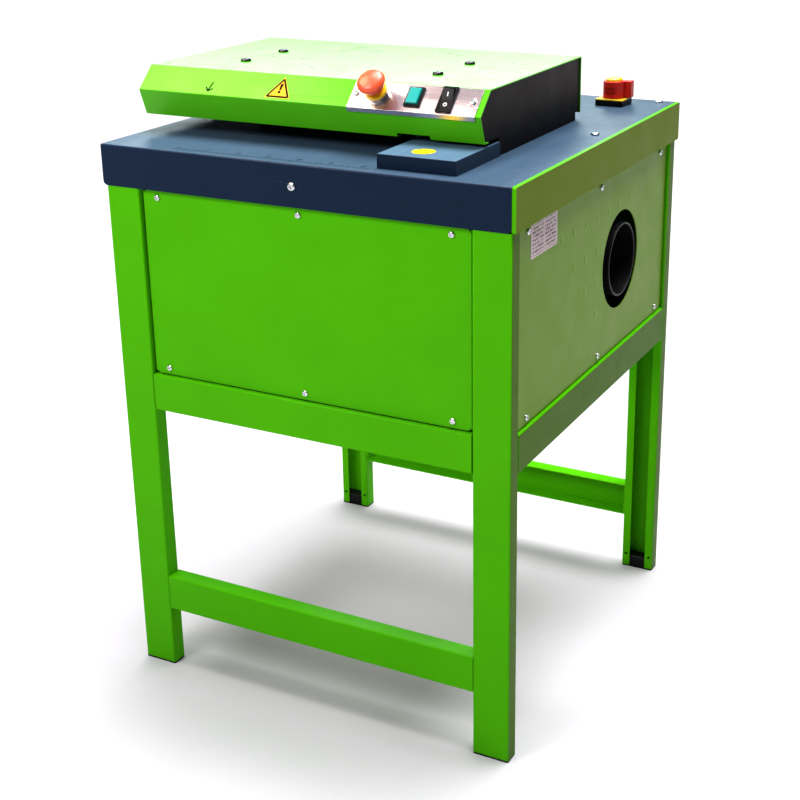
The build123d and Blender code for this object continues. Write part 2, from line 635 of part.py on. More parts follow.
def cutter_shaft(name, z, right_end):
    """Ground shaft with a thicker hub between the side plates."""
    end_chamfer = 1.0
    with BuildPart() as shaft:
        with BuildSketch(Plane.YZ.offset(LEFT_PLATE_X - SHAFT_END)):
            with Locations((0, z)):
                Circle(SHAFT_R)
        extrude(amount=right_end - (LEFT_PLATE_X - SHAFT_END))
        chamfer(shaft.edges().filter_by(GeomType.CIRCLE), end_chamfer)
        with BuildSketch(Plane.YZ.offset(THROAT_LEFT + HUB_ROOM)):
            with Locations((0, z)):
                Circle(HUB_R)
        extrude(amount=THROAT_RIGHT - THROAT_LEFT - 2 * HUB_ROOM)
    save(shaft, name)


def cutter_discs(name, z, first_x):
    """Toothed perforating discs, one every pitch along the hub."""
    notch_w, notch_h = 7.0, 3.0
    with BuildPart() as discs:
        for index in range(DISCS):
            with BuildSketch(Plane.YZ.offset(first_x + index * DISC_PITCH - DISC_T / 2)):
                with Locations((0, z)):
                    Circle(DISC_R)
                    Circle(HUB_R, mode=Mode.SUBTRACT)
                    with PolarLocations(DISC_R, TOOTH_NOTCHES):
                        Rectangle(2 * notch_h, notch_w, mode=Mode.SUBTRACT)
            extrude(amount=DISC_T)
    save(discs, name)


def gear(name, z, turn):
    """Coarse spur gear with slim teeth, so that its mate turns free of it."""
    root_r, tip_r = 23.5, 31.0
    root_half, tip_half = 3.2, 1.8
    sink = 1.5  # of each tooth into the rim
    with BuildPart() as wheel:
        with BuildSketch(Plane.YZ.offset(GEAR_X)):
            with Locations((0, z)):
                Circle(root_r)
                with PolarLocations(0, GEAR_TEETH, start_angle=turn):
                    Polygon(
                        (root_r - sink, -root_half),
                        (tip_r, -tip_half),
                        (tip_r, tip_half),
                        (root_r - sink, root_half),
                        align=None,
                    )
                Circle(SHAFT_R, mode=Mode.SUBTRACT)
        extrude(amount=GEAR_T)
    save(wheel, name)


cutter_shaft("cutter_shaft_lower", LOWER_Z, GEARBOX_X + GEARBOX_W + SHAFT_SPARE)
cutter_shaft("cutter_shaft_upper", UPPER_Z, GEAR_X + GEAR_T + SHAFT_SPARE)
cutter_discs("cutter_discs_lower", LOWER_Z, DISC_X)
cutter_discs("cutter_discs_upper", UPPER_Z, DISC_X + DISC_PITCH / 2)
gear("gear_lower", LOWER_Z, 90.0)
gear("gear_upper", UPPER_Z, 90.0 + 180.0 / GEAR_TEETH)

COMB_FRONT = 178.0  # the upper guide plate starts behind the adjuster
FINGER_ROOM = 2.0  # beside each disc


def comb(name, bottom, thickness, first_x, outer, front_tip, slot_root):
    """Stripper plates before and behind the cutters, with a finger between each pair of discs."""
    slot_w = DISC_T + 2 * FINGER_ROOM
    middle_x = (THROAT_LEFT + THROAT_RIGHT) / 2
    with BuildPart() as plates:
        for side, edge in zip((-1, 1), outer):
            with BuildSketch(Plane.XY.offset(bottom)):
                with Locations((middle_x, side * (edge + front_tip) / 2)):
                    Rectangle(THROAT_RIGHT - THROAT_LEFT, edge - front_tip)
                for index in range(DISCS):
                    with Locations((first_x + index * DISC_PITCH, side * slot_root / 2)):
                        Rectangle(slot_w, slot_root, mode=Mode.SUBTRACT)
            extrude(amount=thickness)
    save(plates, name)


UPPER_COMB_Z = 862.0
COMB_T = 2.0
LOWER_COMB_EDGE = WINDOW_Y - 0.4
comb(
    "comb_lower",
    TABLE_Z - 2 * COMB_T,
    2 * COMB_T,
    DISC_X,
    outer=(LOWER_COMB_EDGE, LOWER_COMB_EDGE),
    front_tip=8.0,
    slot_root=27.0,
)
comb(
    "comb_upper",
    UPPER_COMB_Z,
    COMB_T,
    DISC_X + DISC_PITCH / 2,
    outer=(COMB_FRONT, HOOD_REAR_Y - 2 * HOOD_SHEET),
    front_tip=20.5,
    slot_root=33.0,
)

# ---------------------------------------------------------------- drive
MOTOR_Z = 771.0
MOTOR_R = 50.0
MOTOR_FRONT, MOTOR_REAR = 48.0, 236.0
GEARBOX_MID_X = GEARBOX_X + GEARBOX_W / 2
GEARBOX_TOP, GEARBOX_BOTTOM = 850.0, 728.0
GEARBOX_HALF_Y = 40.0
GEARBOX_CORNER = 14.0
FLANGE_R = 52.0
with BuildPart() as gearbox:
    with BuildSketch(Plane.YZ.offset(GEARBOX_X)):
        with Locations((0, (GEARBOX_TOP + GEARBOX_BOTTOM) / 2)):
            RectangleRounded(2 * GEARBOX_HALF_Y, GEARBOX_TOP - GEARBOX_BOTTOM, GEARBOX_CORNER)
        with Locations((0, LOWER_Z)):
            Circle(SHAFT_R + RUNNING, mode=Mode.SUBTRACT)
    extrude(amount=GEARBOX_W)
    # flange towards the motor
    with BuildSketch(Plane.XZ.offset(-GEARBOX_HALF_Y)):
        with Locations((GEARBOX_MID_X, MOTOR_Z)):
            Circle(FLANGE_R)
    extrude(amount=-(MOTOR_FRONT - GEARBOX_HALF_Y))
save(gearbox, "gearbox")

FINS, FIN_HEIGHT, FIN_T = 20, 8.0, 2.4
FAN_COVER = 40.0  # length of the smooth cover at the motor's rear
FAN_COVER_ROUND = 6.0
with BuildPart() as motor:
    motor_plane = Plane.XZ.offset(-MOTOR_FRONT)
    core_r = MOTOR_R - 6.0
    fin_length = MOTOR_REAR - MOTOR_FRONT - FAN_COVER
    with BuildSketch(motor_plane):
        with Locations((GEARBOX_MID_X, MOTOR_Z)):
            Circle(core_r)
            with PolarLocations(core_r + 1.0, FINS):
                Rectangle(FIN_HEIGHT, FIN_T)
    extrude(amount=-fin_length)
    with BuildSketch(Plane.XZ.offset(-(MOTOR_FRONT + fin_length))):
        with Locations((GEARBOX_MID_X, MOTOR_Z)):
            Circle(MOTOR_R)
    extrude(amount=-FAN_COVER)
    fillet(motor.edges().filter_by(GeomType.CIRCLE).group_by(Axis.Y)[-1], FAN_COVER_ROUND)
    # terminal box on the motor's left
    terminal_length, terminal_height, terminal_reach, terminal_corner = 70.0, 56.0, 32.0, 5.0
    with BuildSketch(Plane.YZ.offset(GEARBOX_MID_X - core_r - terminal_reach)):
        with Locations((MOTOR_FRONT + terminal_length, MOTOR_Z)):
            RectangleRounded(terminal_length, terminal_height, terminal_corner)
    extrude(amount=terminal_reach + FIN_HEIGHT)
save(motor, "motor")

# Saddles hang the motor under the table
with BuildPart() as motor_saddles:
    saddle_width, saddle_half_length, saddle_inset = 60.0, 8.0, 20.0
    for y in (MOTOR_FRONT + saddle_inset, MOTOR_REAR - saddle_inset):
        with BuildSketch(Plane.XZ.offset(-y)):
            with Locations((GEARBOX_MID_X, (MOTOR_Z + TABLE_Z - SHEET) / 2)):
                Rectangle(saddle_width, TABLE_Z - SHEET - MOTOR_Z)
            with Locations((GEARBOX_MID_X, MOTOR_Z)):
                Circle(MOTOR_R, mode=Mode.SUBTRACT)
        extrude(amount=saddle_half_length, both=True)
save(motor_saddles, "motor_saddles")

# ---------------------------------------------------------------- infeed block
BLOCK_LEFT, BLOCK_FRONT = 115.0, -302.0
BLOCK_H, BLOCK_EDGE = 20.0, 1.2
BLOCK_REAR = FENCE_FRONT - 1.0
with BuildPart() as guide_block:
    with BuildSketch(Plane.XY.offset(TABLE_Z)):
        with Locations(((BLOCK_LEFT + HOOD_RIGHT) / 2, (BLOCK_FRONT + BLOCK_REAR) / 2)):
            Rectangle(HOOD_RIGHT - BLOCK_LEFT, BLOCK_REAR - BLOCK_FRONT)
    extrude(amount=BLOCK_H)
    top_edges = guide_block.edges().group_by(Axis.Z)[-1]
    fillet(top_edges, BLOCK_EDGE)
    with BuildSketch(Plane.XY.offset(TABLE_Z)):
        with Locations(((BLOCK_LEFT + HOOD_RIGHT) / 2, (BLOCK_FRONT + BLOCK_REAR) / 2)):
            Rectangle(HOOD_RIGHT - BLOCK_LEFT - 2 * SHEET, BLOCK_REAR - BLOCK_FRONT - 2 * SHEET)
    extrude(amount=BLOCK_H - SHEET, mode=Mode.SUBTRACT)
save(guide_block, "guide_block")

# Knob that sets the feed gap, in the notch under the hood's front lip
KNOB_Y = -194.0
KNOB_BOTTOM, KNOB_H, KNOB_R = 863.0, 15.0, 9.5
SPINDLE_R, SPINDLE_L = 4.0, 24.0
BRACKET_W, BRACKET_T = 34.0, 4.0
BRACKET_FRONT, BRACKET_REAR = KNOB_Y - 11.0, KNOB_Y + 27.0
BRACKET_Z = KNOB_BOTTOM + KNOB_H + 1.0
with BuildPart() as adjuster_bracket:
    with BuildSketch(Plane.XY.offset(BRACKET_Z)):
        with Locations((NOTCH_X, (BRACKET_FRONT + BRACKET_REAR) / 2)):
            Rectangle(BRACKET_W, BRACKET_REAR - BRACKET_FRONT)
        with Locations((NOTCH_X, KNOB_Y)):
            Circle(SPINDLE_R + RUNNING, mode=Mode.SUBTRACT)
    extrude(amount=BRACKET_T)
    # upright that hangs it from the inside of the hood
    upright_t = 6.0
    with BuildSketch(Plane.XY.offset(BRACKET_Z + BRACKET_T)):
        with Locations((NOTCH_X, BRACKET_REAR - upright_t / 2)):
            Rectangle(BRACKET_W, upright_t)
    extrude(amount=HOOD_TOP - HOOD_SHEET - BRACKET_Z - BRACKET_T)
save(adjuster_bracket, "adjuster_bracket")

with BuildPart() as adjuster_knob:
    flutes, flute_r, collar = 16, 0.9, 2.0
    with BuildSketch(Plane.XY.offset(KNOB_BOTTOM)):
        with Locations((NOTCH_X, KNOB_Y)):
            Circle(KNOB_R)
            with PolarLocations(KNOB_R, flutes):
                Circle(flute_r, mode=Mode.SUBTRACT)
    extrude(amount=KNOB_H - collar)
    with BuildSketch(Plane.XY.offset(KNOB_BOTTOM + KNOB_H - collar)):
        with Locations((NOTCH_X, KNOB_Y)):
            Circle(SPINDLE_R)
    extrude(amount=SPINDLE_L)
save(adjuster_knob, "adjuster_knob")

# ---------------------------------------------------------------- control panel
PLATE_LEFT_X, PLATE_RIGHT_X = 29.0, 223.0
CONTROL_SCREW_X = (36.5, 213.5)
CONTROL_SCREW_R = 2.0
PLATE_T = 1.5
PLATE_START = 1.5  # from the hood's top bend
PLATE_FOLD = 6.0  # length of its fold under the nose
LOWER_FACET = hypot(LIP_Y - NOSE_Y, NOSE_Z - LIP_Z)
with BuildPart() as control_plate:
    down = ((LIP_Y - NOSE_Y) / LOWER_FACET, (LIP_Z - NOSE_Z) / LOWER_FACET)
    up = ((HOOD_FRONT_Y - NOSE_Y) / FACET, (HOOD_TOP - NOSE_Z) / FACET)
    out_upper = (-up[1], up[0])
    out_lower = (down[1], -down[0])
    mitre = PLATE_T / (1 + out_upper[0] * out_lower[0] + out_upper[1] * out_lower[1])
    start = (HOOD_FRONT_Y - up[0] * PLATE_START, HOOD_TOP - up[1] * PLATE_START)
    end = (NOSE_Y + down[0] * PLATE_FOLD, NOSE_Z + down[1] * PLATE_FOLD)
    with BuildSketch(Plane.YZ.offset(PLATE_LEFT_X)):
        with BuildLine():
            Polyline(
                start,
                (NOSE_Y, NOSE_Z),
                end,
                (end[0] + out_lower[0] * PLATE_T, end[1] + out_lower[1] * PLATE_T),
                (
                    NOSE_Y + (out_upper[0] + out_lower[0]) * mitre,
                    NOSE_Z + (out_upper[1] + out_lower[1]) * mitre,
                ),
                (start[0] + out_upper[0] * PLATE_T, start[1] + out_upper[1] * PLATE_T),
                close=True,
            )
        make_face()
    extrude(amount=PLATE_RIGHT_X - PLATE_LEFT_X)
    extrude(control_openings(HOLE_ROOM), amount=-3 * HOOD_SHEET, mode=Mode.SUBTRACT)
    with BuildSketch(facet(0, FACET / 2, PLATE_T)):
        with Locations(*[(x, 0) for x in CONTROL_SCREW_X]):
            Circle(CONTROL_SCREW_R)
    extrude(amount=-PLATE_T, mode=Mode.SUBTRACT)
save(control_plate, "control_plate")


def cover_screws():
    """The same small screw holds the four panels and the control plate."""
    head_r, head_h, shank_l, dome = 4.6, 2.6, 9.0, 1.6
    shank_r = CONTROL_SCREW_R
    control_plane = facet(0, FACET / 2, PLATE_T)
    control_spots = [(x, 0) for x in CONTROL_SCREW_X]
    group = pan_head(
        control_plane, control_spots, head_r, head_h, shank_r - 0.1, PLATE_T, dome
    ).part.solids()
    for plane, places in (
        (FRONT_PLANE, FRONT_SCREW_X),
        (REAR_PLANE, FRONT_SCREW_X),
        (LEFT_PLANE, SIDE_SCREW_Y),
        (RIGHT_PLANE, SIDE_SCREW_Y),
    ):
        spots = [(u, z) for u in places for z in SCREW_Z]
        group += pan_head(plane, spots, head_r, head_h, shank_r, shank_l, dome).part.solids()
    with BuildPart() as screws:
        add(group)
    save(screws, "cover_screws")


cover_screws()

# Emergency stop: chrome bezel, yellow collar, red mushroom
ESTOP_PLANE = facet(ESTOP_X, FACET / 2, PLATE_T)
ESTOP_AXIS = plane_axis(ESTOP_PLANE)
ESTOP_STEM_R = 7.0
BEZEL_R, BEZEL_H = 15.0, 7.5
BODY_DEPTH = 30.0  # of the contact block behind the plate
COLLAR_R, COLLAR_H = 16.0, 4.0
RIM_FILLET = 1.2
with BuildPart() as estop_body:
    stem_room, bore_depth = 0.3, 8.0
    with BuildSketch(ESTOP_PLANE):
        Circle(BEZEL_R)
        Circle(ESTOP_BODY_R, mode=Mode.SUBTRACT)
    extrude(amount=BEZEL_H)
    fillet(estop_body.edges().filter_by(GeomType.CIRCLE).group_by(ESTOP_AXIS)[-1], RIM_FILLET)
    with BuildSketch(ESTOP_PLANE.offset(-BODY_DEPTH)):
        Circle(ESTOP_BODY_R)
    extrude(amount=BODY_DEPTH + BEZEL_H)
    with BuildSketch(ESTOP_PLANE.offset(-bore_depth)):
        Circle(ESTOP_STEM_R + stem_room)
    extrude(amount=bore_depth + 2 * BEZEL_H, mode=Mode.SUBTRACT)
save(estop_body, "estop_body")

with BuildPart() as estop_collar:
    with BuildSketch(ESTOP_PLANE.offset(BEZEL_H)):
        Circle(COLLAR_R)
        Circle(ESTOP_STEM_R + 1.0, mode=Mode.SUBTRACT)
    extrude(amount=COLLAR_H)
    collar_top = estop_collar.edges().filter_by(GeomType.CIRCLE).group_by(ESTOP_AXIS)[-1]
    fillet(collar_top.sort_by(lambda e: e.radius)[-1], RIM_FILLET)
save(estop_collar, "estop_collar")

with BuildPart() as estop_mushroom:
    # half section in the plane that holds the button's axis; X is the radius, Y the height
    stem_bottom, skirt_bottom, skirt_top = 2.0, 16.2, 23.0
    skirt_r, head_r, shoulder_r = 13.5, 20.0, 18.6
    head_bottom, head_middle, shoulder, crown = 26.0, 29.0, 32.0, 38.0
    with BuildSketch(Plane(ESTOP_PLANE.origin, ESTOP_PLANE.x_dir, ESTOP_PLANE.y_dir * -1)):
        with BuildLine():
            Polyline(
                (0, crown),
                (0, stem_bottom),
                (ESTOP_STEM_R, stem_bottom),
                (ESTOP_STEM_R, skirt_bottom),
                (skirt_r, skirt_bottom),
                (skirt_r, skirt_top),
                (head_r - 1.0, head_bottom),
            )
            ThreePointArc(
                (head_r - 1.0, head_bottom), (head_r, head_middle), (shoulder_r, shoulder)
            )
            Spline(
                (shoulder_r, shoulder),
                (head_r / 2, crown - 1.4),
                (0, crown),
                tangents=[(-0.5, 0.85), (-1, 0)],
            )
        make_face()
    revolve(axis=ESTOP_AXIS)
save(estop_mushroom, "estop_mushroom")

# Start button: black frame with a lit push cap
START_PLANE = facet(START_X, FACET / 2, PLATE_T)
CAP_ROOM = 0.4
CAP_DEPTH, CAP_RISE = 6.0, 3.2  # below the plate, and proud of the frame
FRAME_BACK = 6.0  # solid back of a switch housing


def switch_frame(name, plane, width, height, lip, depth, wall):
    """Snap-in housing: a raised frame over the plate and a hollow body behind it."""
    body_w, body_h = width - 2 * BEZEL, height - 2 * BEZEL
    corner, lip_chamfer = 1.5, 0.8
    with BuildPart() as frame:
        with BuildSketch(plane):
            RectangleRounded(width, height, corner)
        extrude(amount=lip)
        chamfer(frame.faces().sort_by(plane_axis(plane))[-1].edges(), lip_chamfer)
        with BuildSketch(plane):
            Rectangle(body_w, body_h)
        extrude(amount=-depth)
        with BuildSketch(plane.offset(lip)):
            Rectangle(width - 2 * wall, height - 2 * wall)
        extrude(amount=-(lip + depth - FRAME_BACK), mode=Mode.SUBTRACT)
    save(frame, name)


START_WALL = 3.0
START_LIP, START_DEPTH = 3.0, 26.0
switch_frame("start_frame", START_PLANE, START_W, START_H, START_LIP, START_DEPTH, START_WALL)
with BuildPart() as start_cap:
    frame_walls = 2 * START_WALL + 2 * CAP_ROOM
    with BuildSketch(START_PLANE.offset(-CAP_DEPTH)):
        Rectangle(START_W - frame_walls, START_H - frame_walls)
    extrude(amount=CAP_DEPTH + START_LIP + CAP_RISE)
    chamfer(start_cap.faces().sort_by(plane_axis(START_PLANE))[-1].edges(), 1.0)
save(start_cap, "start_cap")

# Rocker switch: tall black frame with a rocker on a cross pin
ROCKER_PLANE = facet(ROCKER_X, FACET / 2, PLATE_T)
ROCKER_LIP, ROCKER_DEPTH = 3.0, 28.0
ROCKER_WALL = 3.4
ROCKER_TILT = 10.0
ROCKER_DROP = 3.0  # its pivot lies this far under the plate
switch_frame("rocker_frame", ROCKER_PLANE, ROCKER_W, ROCKER_H, ROCKER_LIP, ROCKER_DEPTH, ROCKER_WALL)
rocker_plane = ROCKER_PLANE.offset(-ROCKER_DROP).rotated((ROCKER_TILT, 0, 0))
with BuildPart() as rocker:
    rocker_w = ROCKER_W - 2 * ROCKER_WALL - 2 * CAP_ROOM
    rocker_side = Plane(rocker_plane.origin, rocker_plane.y_dir, rocker_plane.x_dir)
    swing_room = 2.2  # at each end, so that it can tilt
    half_h = (ROCKER_H - 2 * ROCKER_WALL) / 2 - swing_room
    end_top, dip, end_bottom = 7.5, 5.5, 1.5
    keel_half, keel_bottom = 4.0, -5.0
    with BuildSketch(rocker_side):
        # a shallow vee: both ends rise, the middle dips; X runs along the rocker
        with BuildLine():
            Polyline(
                (-half_h, end_top),
                (0, dip),
                (half_h, end_top),
                (half_h, end_bottom),
                (keel_half, keel_bottom),
                (-keel_half, keel_bottom),
                (-half_h, end_bottom),
                close=True,
            )
        make_face()
    extrude(amount=rocker_w / 2, both=True)
    rocker_top = rocker.edges().filter_by(GeomType.LINE).group_by(plane_axis(rocker_plane))[-1]
    fillet(rocker_top, 0.8)
save(rocker, "rocker")

# ---------------------------------------------------------------- main switch
SWITCH_X, SWITCH_Y = 234.0, 264.0
SWITCH_SIZE, SWITCH_CORNER = 46.0, 2.0
SWITCH_H, SWITCH_PLATE_T = 9.0, 2.0
KNOB_GAP = 0.8
HANDLE_H = 26.0
HANDLE_R = 17.0
SWITCH_STEM_R = 5.0
with BuildPart() as switch_base:
    with BuildSketch(Plane.XY.offset(TABLE_Z)):
        with Locations((SWITCH_X, SWITCH_Y)):
            RectangleRounded(SWITCH_SIZE, SWITCH_SIZE, SWITCH_CORNER)
            Circle(SWITCH_STEM_R + RUNNING, mode=Mode.SUBTRACT)
    extrude(amount=SWITCH_H)
save(switch_base, "switch_base")

with BuildPart() as switch_plate:
    with BuildSketch(Plane.XY.offset(TABLE_Z + SWITCH_H)):
        with Locations((SWITCH_X, SWITCH_Y)):
            RectangleRounded(SWITCH_SIZE, SWITCH_SIZE, SWITCH_CORNER)
            Circle(SWITCH_STEM_R + RUNNING, mode=Mode.SUBTRACT)
    extrude(amount=SWITCH_PLATE_T)
    chamfer(switch_plate.faces().sort_by(Axis.Z)[-1].outer_wire().edges(), 0.5)
save(switch_plate, "switch_plate")

HANDLE_Z = TABLE_Z + SWITCH_H + SWITCH_PLATE_T + KNOB_GAP
LEVER_W, LEVER_REACH = 15.0, 28.0
SCOOP_R, SCOOP_H, SCOOP_RISE = 14.0, 11.0, 6.0
STEM_FLOOR = 1.0  # the stem ends this far above the table
with BuildPart() as switch_handle:
    with BuildSketch(Plane.XY.offset(HANDLE_Z)):
        with Locations((SWITCH_X, SWITCH_Y)):
            Circle(HANDLE_R)
            with Locations((LEVER_REACH / 2, HANDLE_R - LEVER_W / 2)):
                RectangleRounded(LEVER_REACH, LEVER_W, 2.0)
    extrude(amount=HANDLE_H)
    fillet(switch_handle.faces().sort_by(Axis.Z)[-1].edges(), 1.4)
    # finger scoop in the front of the round grip
    with BuildSketch(Plane.XY.offset(HANDLE_Z + SCOOP_RISE)):
        with Locations((SWITCH_X - 2.0, SWITCH_Y - HANDLE_R - 8.0)):
            Circle(SCOOP_R)
    extrude(amount=SCOOP_H, mode=Mode.SUBTRACT)
    with BuildSketch(Plane.XY.offset(TABLE_Z + STEM_FLOOR)):
        with Locations((SWITCH_X, SWITCH_Y)):
            Circle(SWITCH_STEM_R)
    extrude(amount=HANDLE_Z - TABLE_Z)
save(switch_handle, "switch_handle")

CAP_R, CAP_H, CAP_ROUND = 13.5, 5.0, 3.5
with BuildPart() as switch_cap:
    with BuildSketch(Plane.XY.offset(HANDLE_Z + HANDLE_H)):
        with Locations((SWITCH_X, SWITCH_Y)):
            Circle(CAP_R)
    extrude(amount=CAP_H)
    fillet(switch_cap.edges().filter_by(GeomType.CIRCLE).group_by(Axis.Z)[-1], CAP_ROUND)
save(switch_cap, "switch_cap")
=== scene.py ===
import json
import math

import bmesh
import bpy
from mathutils import Matrix, Vector


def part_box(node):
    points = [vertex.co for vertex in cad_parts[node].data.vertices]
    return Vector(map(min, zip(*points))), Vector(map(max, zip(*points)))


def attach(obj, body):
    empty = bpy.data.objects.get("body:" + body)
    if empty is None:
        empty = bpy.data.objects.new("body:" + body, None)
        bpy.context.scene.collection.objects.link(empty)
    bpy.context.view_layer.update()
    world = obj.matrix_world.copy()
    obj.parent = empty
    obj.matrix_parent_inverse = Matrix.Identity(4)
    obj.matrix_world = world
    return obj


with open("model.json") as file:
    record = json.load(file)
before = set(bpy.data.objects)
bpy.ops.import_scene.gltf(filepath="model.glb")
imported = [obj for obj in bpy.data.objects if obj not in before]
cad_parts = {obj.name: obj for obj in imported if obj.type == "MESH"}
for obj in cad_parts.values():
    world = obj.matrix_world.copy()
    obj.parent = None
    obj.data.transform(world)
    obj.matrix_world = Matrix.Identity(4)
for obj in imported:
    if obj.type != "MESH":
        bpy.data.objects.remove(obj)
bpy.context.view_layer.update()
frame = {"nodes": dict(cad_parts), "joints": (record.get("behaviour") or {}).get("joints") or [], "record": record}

NODES = frame["nodes"]
JOINTS = {joint["name"]: joint for joint in frame["joints"]}
MM = 0.001
INK = 0.12 * MM  # thickness of a print or a sticker
FACE_FADE = (0.4 * MM, 0.1 * MM)  # depths inside a face where its own colour starts and is full


# ---------------------------------------------------------------- materials
class Shader:
    """One material's node tree, with short calls for the nodes used here."""

    def __init__(self, name):
        self.material = bpy.data.materials.new(name)
        self.material.use_nodes = True
        self.tree = self.material.node_tree
        self.surface = self.tree.nodes["Principled BSDF"]
        self.place = self.node("ShaderNodeTexCoord").outputs["Object"]

    def node(self, kind, **settings):
        made = self.tree.nodes.new(kind)
        for key, value in settings.items():
            setattr(made, key, value)
        return made

    def put(self, socket, value):
        """A number or colour is set on the socket; another node's output is linked to it."""
        if isinstance(value, bpy.types.NodeSocket):
            self.tree.links.new(value, socket)
        else:
            socket.default_value = value

    def noise(self, scale, detail=2.0, roughness=0.5, stretch=None):
        texture = self.node("ShaderNodeTexNoise")
        self.put(texture.inputs["Vector"], self.stretched(stretch) if stretch else self.place)
        texture.inputs["Scale"].default_value = scale
        texture.inputs["Detail"].default_value = detail
        texture.inputs["Roughness"].default_value = roughness
        return texture.outputs["Fac"]

    def cells(self, scale):
        texture = self.node("ShaderNodeTexVoronoi")
        self.put(texture.inputs["Vector"], self.place)
        texture.inputs["Scale"].default_value = scale
        return texture.outputs["Distance"]

    def stretched(self, factors):
        mapping = self.node("ShaderNodeMapping")
        self.put(mapping.inputs["Vector"], self.place)
        mapping.inputs["Scale"].default_value = factors
        return mapping.outputs["Vector"]

    def spread(self, value, low, high, to_low=0.0, to_high=1.0):
        """Maps low..high to to_low..to_high, clamped."""
        mapped = self.node("ShaderNodeMapRange")
        for name, number in zip(
            ("From Min", "From Max", "To Min", "To Max"), (low, high, to_low, to_high)
        ):
            mapped.inputs[name].default_value = number
        self.put(mapped.inputs["Value"], value)
        return mapped.outputs["Result"]

    def math(self, operation, a, b=0.0):
        step = self.node("ShaderNodeMath", operation=operation)
        self.put(step.inputs[0], a)
        self.put(step.inputs[1], b)
        return step.outputs["Value"]

    def near(self, value, middle, reach):
        """1 where the value is within reach of the middle, 0 elsewhere."""
        step = self.node("ShaderNodeMath", operation="COMPARE")
        self.put(step.inputs[0], value)
        step.inputs[1].default_value = middle
        step.inputs[2].default_value = reach
        return step.outputs["Value"]

    def mix(self, factor, a, b):
        blend = self.node("ShaderNodeMix", data_type="RGBA")
        self.put(blend.inputs["Factor"], factor)
        self.put(blend.inputs["A"], rgba(a))
        self.put(blend.inputs["B"], rgba(b))
        return blend.outputs["Result"]

    def axis(self, name):
        parts = self.node("ShaderNodeSeparateXYZ")
        self.put(parts.inputs["Vector"], self.place)
        return parts.outputs[name]

    def edges(self, radius):
        """1 along sharp edges, 0 on flat faces."""
        rounded = self.node("ShaderNodeBevel", samples=3)
        rounded.inputs["Radius"].default_value = radius
        real = self.node("ShaderNodeNewGeometry")
        product = self.node("ShaderNodeVectorMath", operation="DOT_PRODUCT")
        self.put(product.inputs[0], rounded.outputs["Normal"])
        self.put(product.inputs[1], real.outputs["Normal"])
        flat, sharp = 0.985, 0.88
        return self.spread(product.outputs["Value"], flat, sharp)

    def at_face(self, distance, face):
        """1 at a face that far out, 0 a little inside it."""
        start, full = FACE_FADE
        return self.spread(distance, face - start, face - full)

    def bump(self, height, distance, strength=1.0):
        relief = self.node("ShaderNodeBump")
        relief.inputs["Distance"].default_value = distance
        relief.inputs["Strength"].default_value = strength
        self.put(relief.inputs["Height"], height)
        self.put(self.surface.inputs["Normal"], relief.outputs["Normal"])

    def finish(self, **sockets):
        names = {
            "color": "Base Color",
            "metallic": "Metallic",
            "roughness": "Roughness",
            "specular": "Specular IOR Level",
            "coat": "Coat Weight",
            "coat_roughness": "Coat Roughness",
            "anisotropic": "Anisotropic",
            "sheen": "Sheen Weight",
            "sheen_roughness": "Sheen Roughness",
            "sheen_color": "Sheen Tint",
        }
        for key, value in sockets.items():
            self.put(self.surface.inputs[names[key]], rgba(value) if "color" in key else value)
        return self.material


def rgba(color):
    """A tuple of three gets an alpha; anything else is returned as it is."""
    return (*color, 1.0) if isinstance(color, tuple) and len(color) == 3 else color


def shaded(color, share):
    return tuple(share * c for c in color)


def powder_coat(
    name, color, wear_and_edge_highlight, roughness, grain, relief, specular, sheen=0.0, painted_top_light=None, painted_side_shade=None
):
    """Baked powder coat: fine grain, faint clouding, lighter edges, partly worn where the coat is thinner and
    partly a painted highlight.

    The top-face argument gives the height and colour of a top face painted lighter, a painted light from above;
    the side argument gives the distance from the middle, the top and the colour of the outer side faces, painted
    darker as a painted shade.
    """
    s = Shader(name)
    clouds = s.noise(scale=9.0, detail=3.0)
    speck = s.noise(scale=grain * 1.7, detail=1.0)
    base = s.mix(s.spread(clouds, 0.35, 0.65), shaded(color, 0.95), color)
    # Painted light: the top face is painted lighter, with streaks, standing in for light falling on it from above
    if painted_top_light:
        height, lighter = painted_top_light
        lit_top_mask = s.at_face(s.axis("Z"), height)
        light_streak_noise = s.noise(scale=1.0, detail=4.0, roughness=0.6, stretch=(60.0, 4.0, 4.0))
        light_streaks = s.spread(light_streak_noise, 0.25, 0.6, 0.8, 1.0)
        base = s.mix(s.math("MULTIPLY", lit_top_mask, light_streaks), base, lighter)
    # Painted shade: the outer side faces below the given top are painted a duller, darker colour, standing in for
    # the shade on the sides
    if painted_side_shade:
        distance, ceiling, side_shade_color = painted_side_shade
        outside = s.at_face(s.math("ABSOLUTE", s.axis("X")), distance)
        below = s.math("LESS_THAN", s.axis("Z"), ceiling)
        base = s.mix(s.math("MULTIPLY", outside, below), base, side_shade_color)
    base = s.mix(s.spread(speck, 0.62, 0.75, 0.0, 0.35), base, wear_and_edge_highlight)
    # Lighter edges: partly wear where the coat is thinner, partly a painted highlight along the edges
    patches = s.spread(s.noise(scale=70.0, detail=3.0), 0.38, 0.62, 0.15, 0.75)
    base = s.mix(s.math("MULTIPLY", s.edges(0.9 * MM), patches), base, wear_and_edge_highlight)
    fine = s.noise(scale=grain, detail=2.0, roughness=0.6)
    coarse = s.noise(scale=grain * 0.3, detail=1.0)
    s.bump(s.math("ADD", fine, s.math("MULTIPLY", coarse, 0.8)), relief)
    smear = s.noise(scale=22.0, detail=4.0)
    return s.finish(
        color=base,
        roughness=s.spread(smear, 0.3, 0.7, roughness - 0.05, roughness + 0.07),
        specular=specular,
        sheen=sheen,
        sheen_roughness=0.45,
        sheen_color=(0.45, 0.72, 1.0),
    )


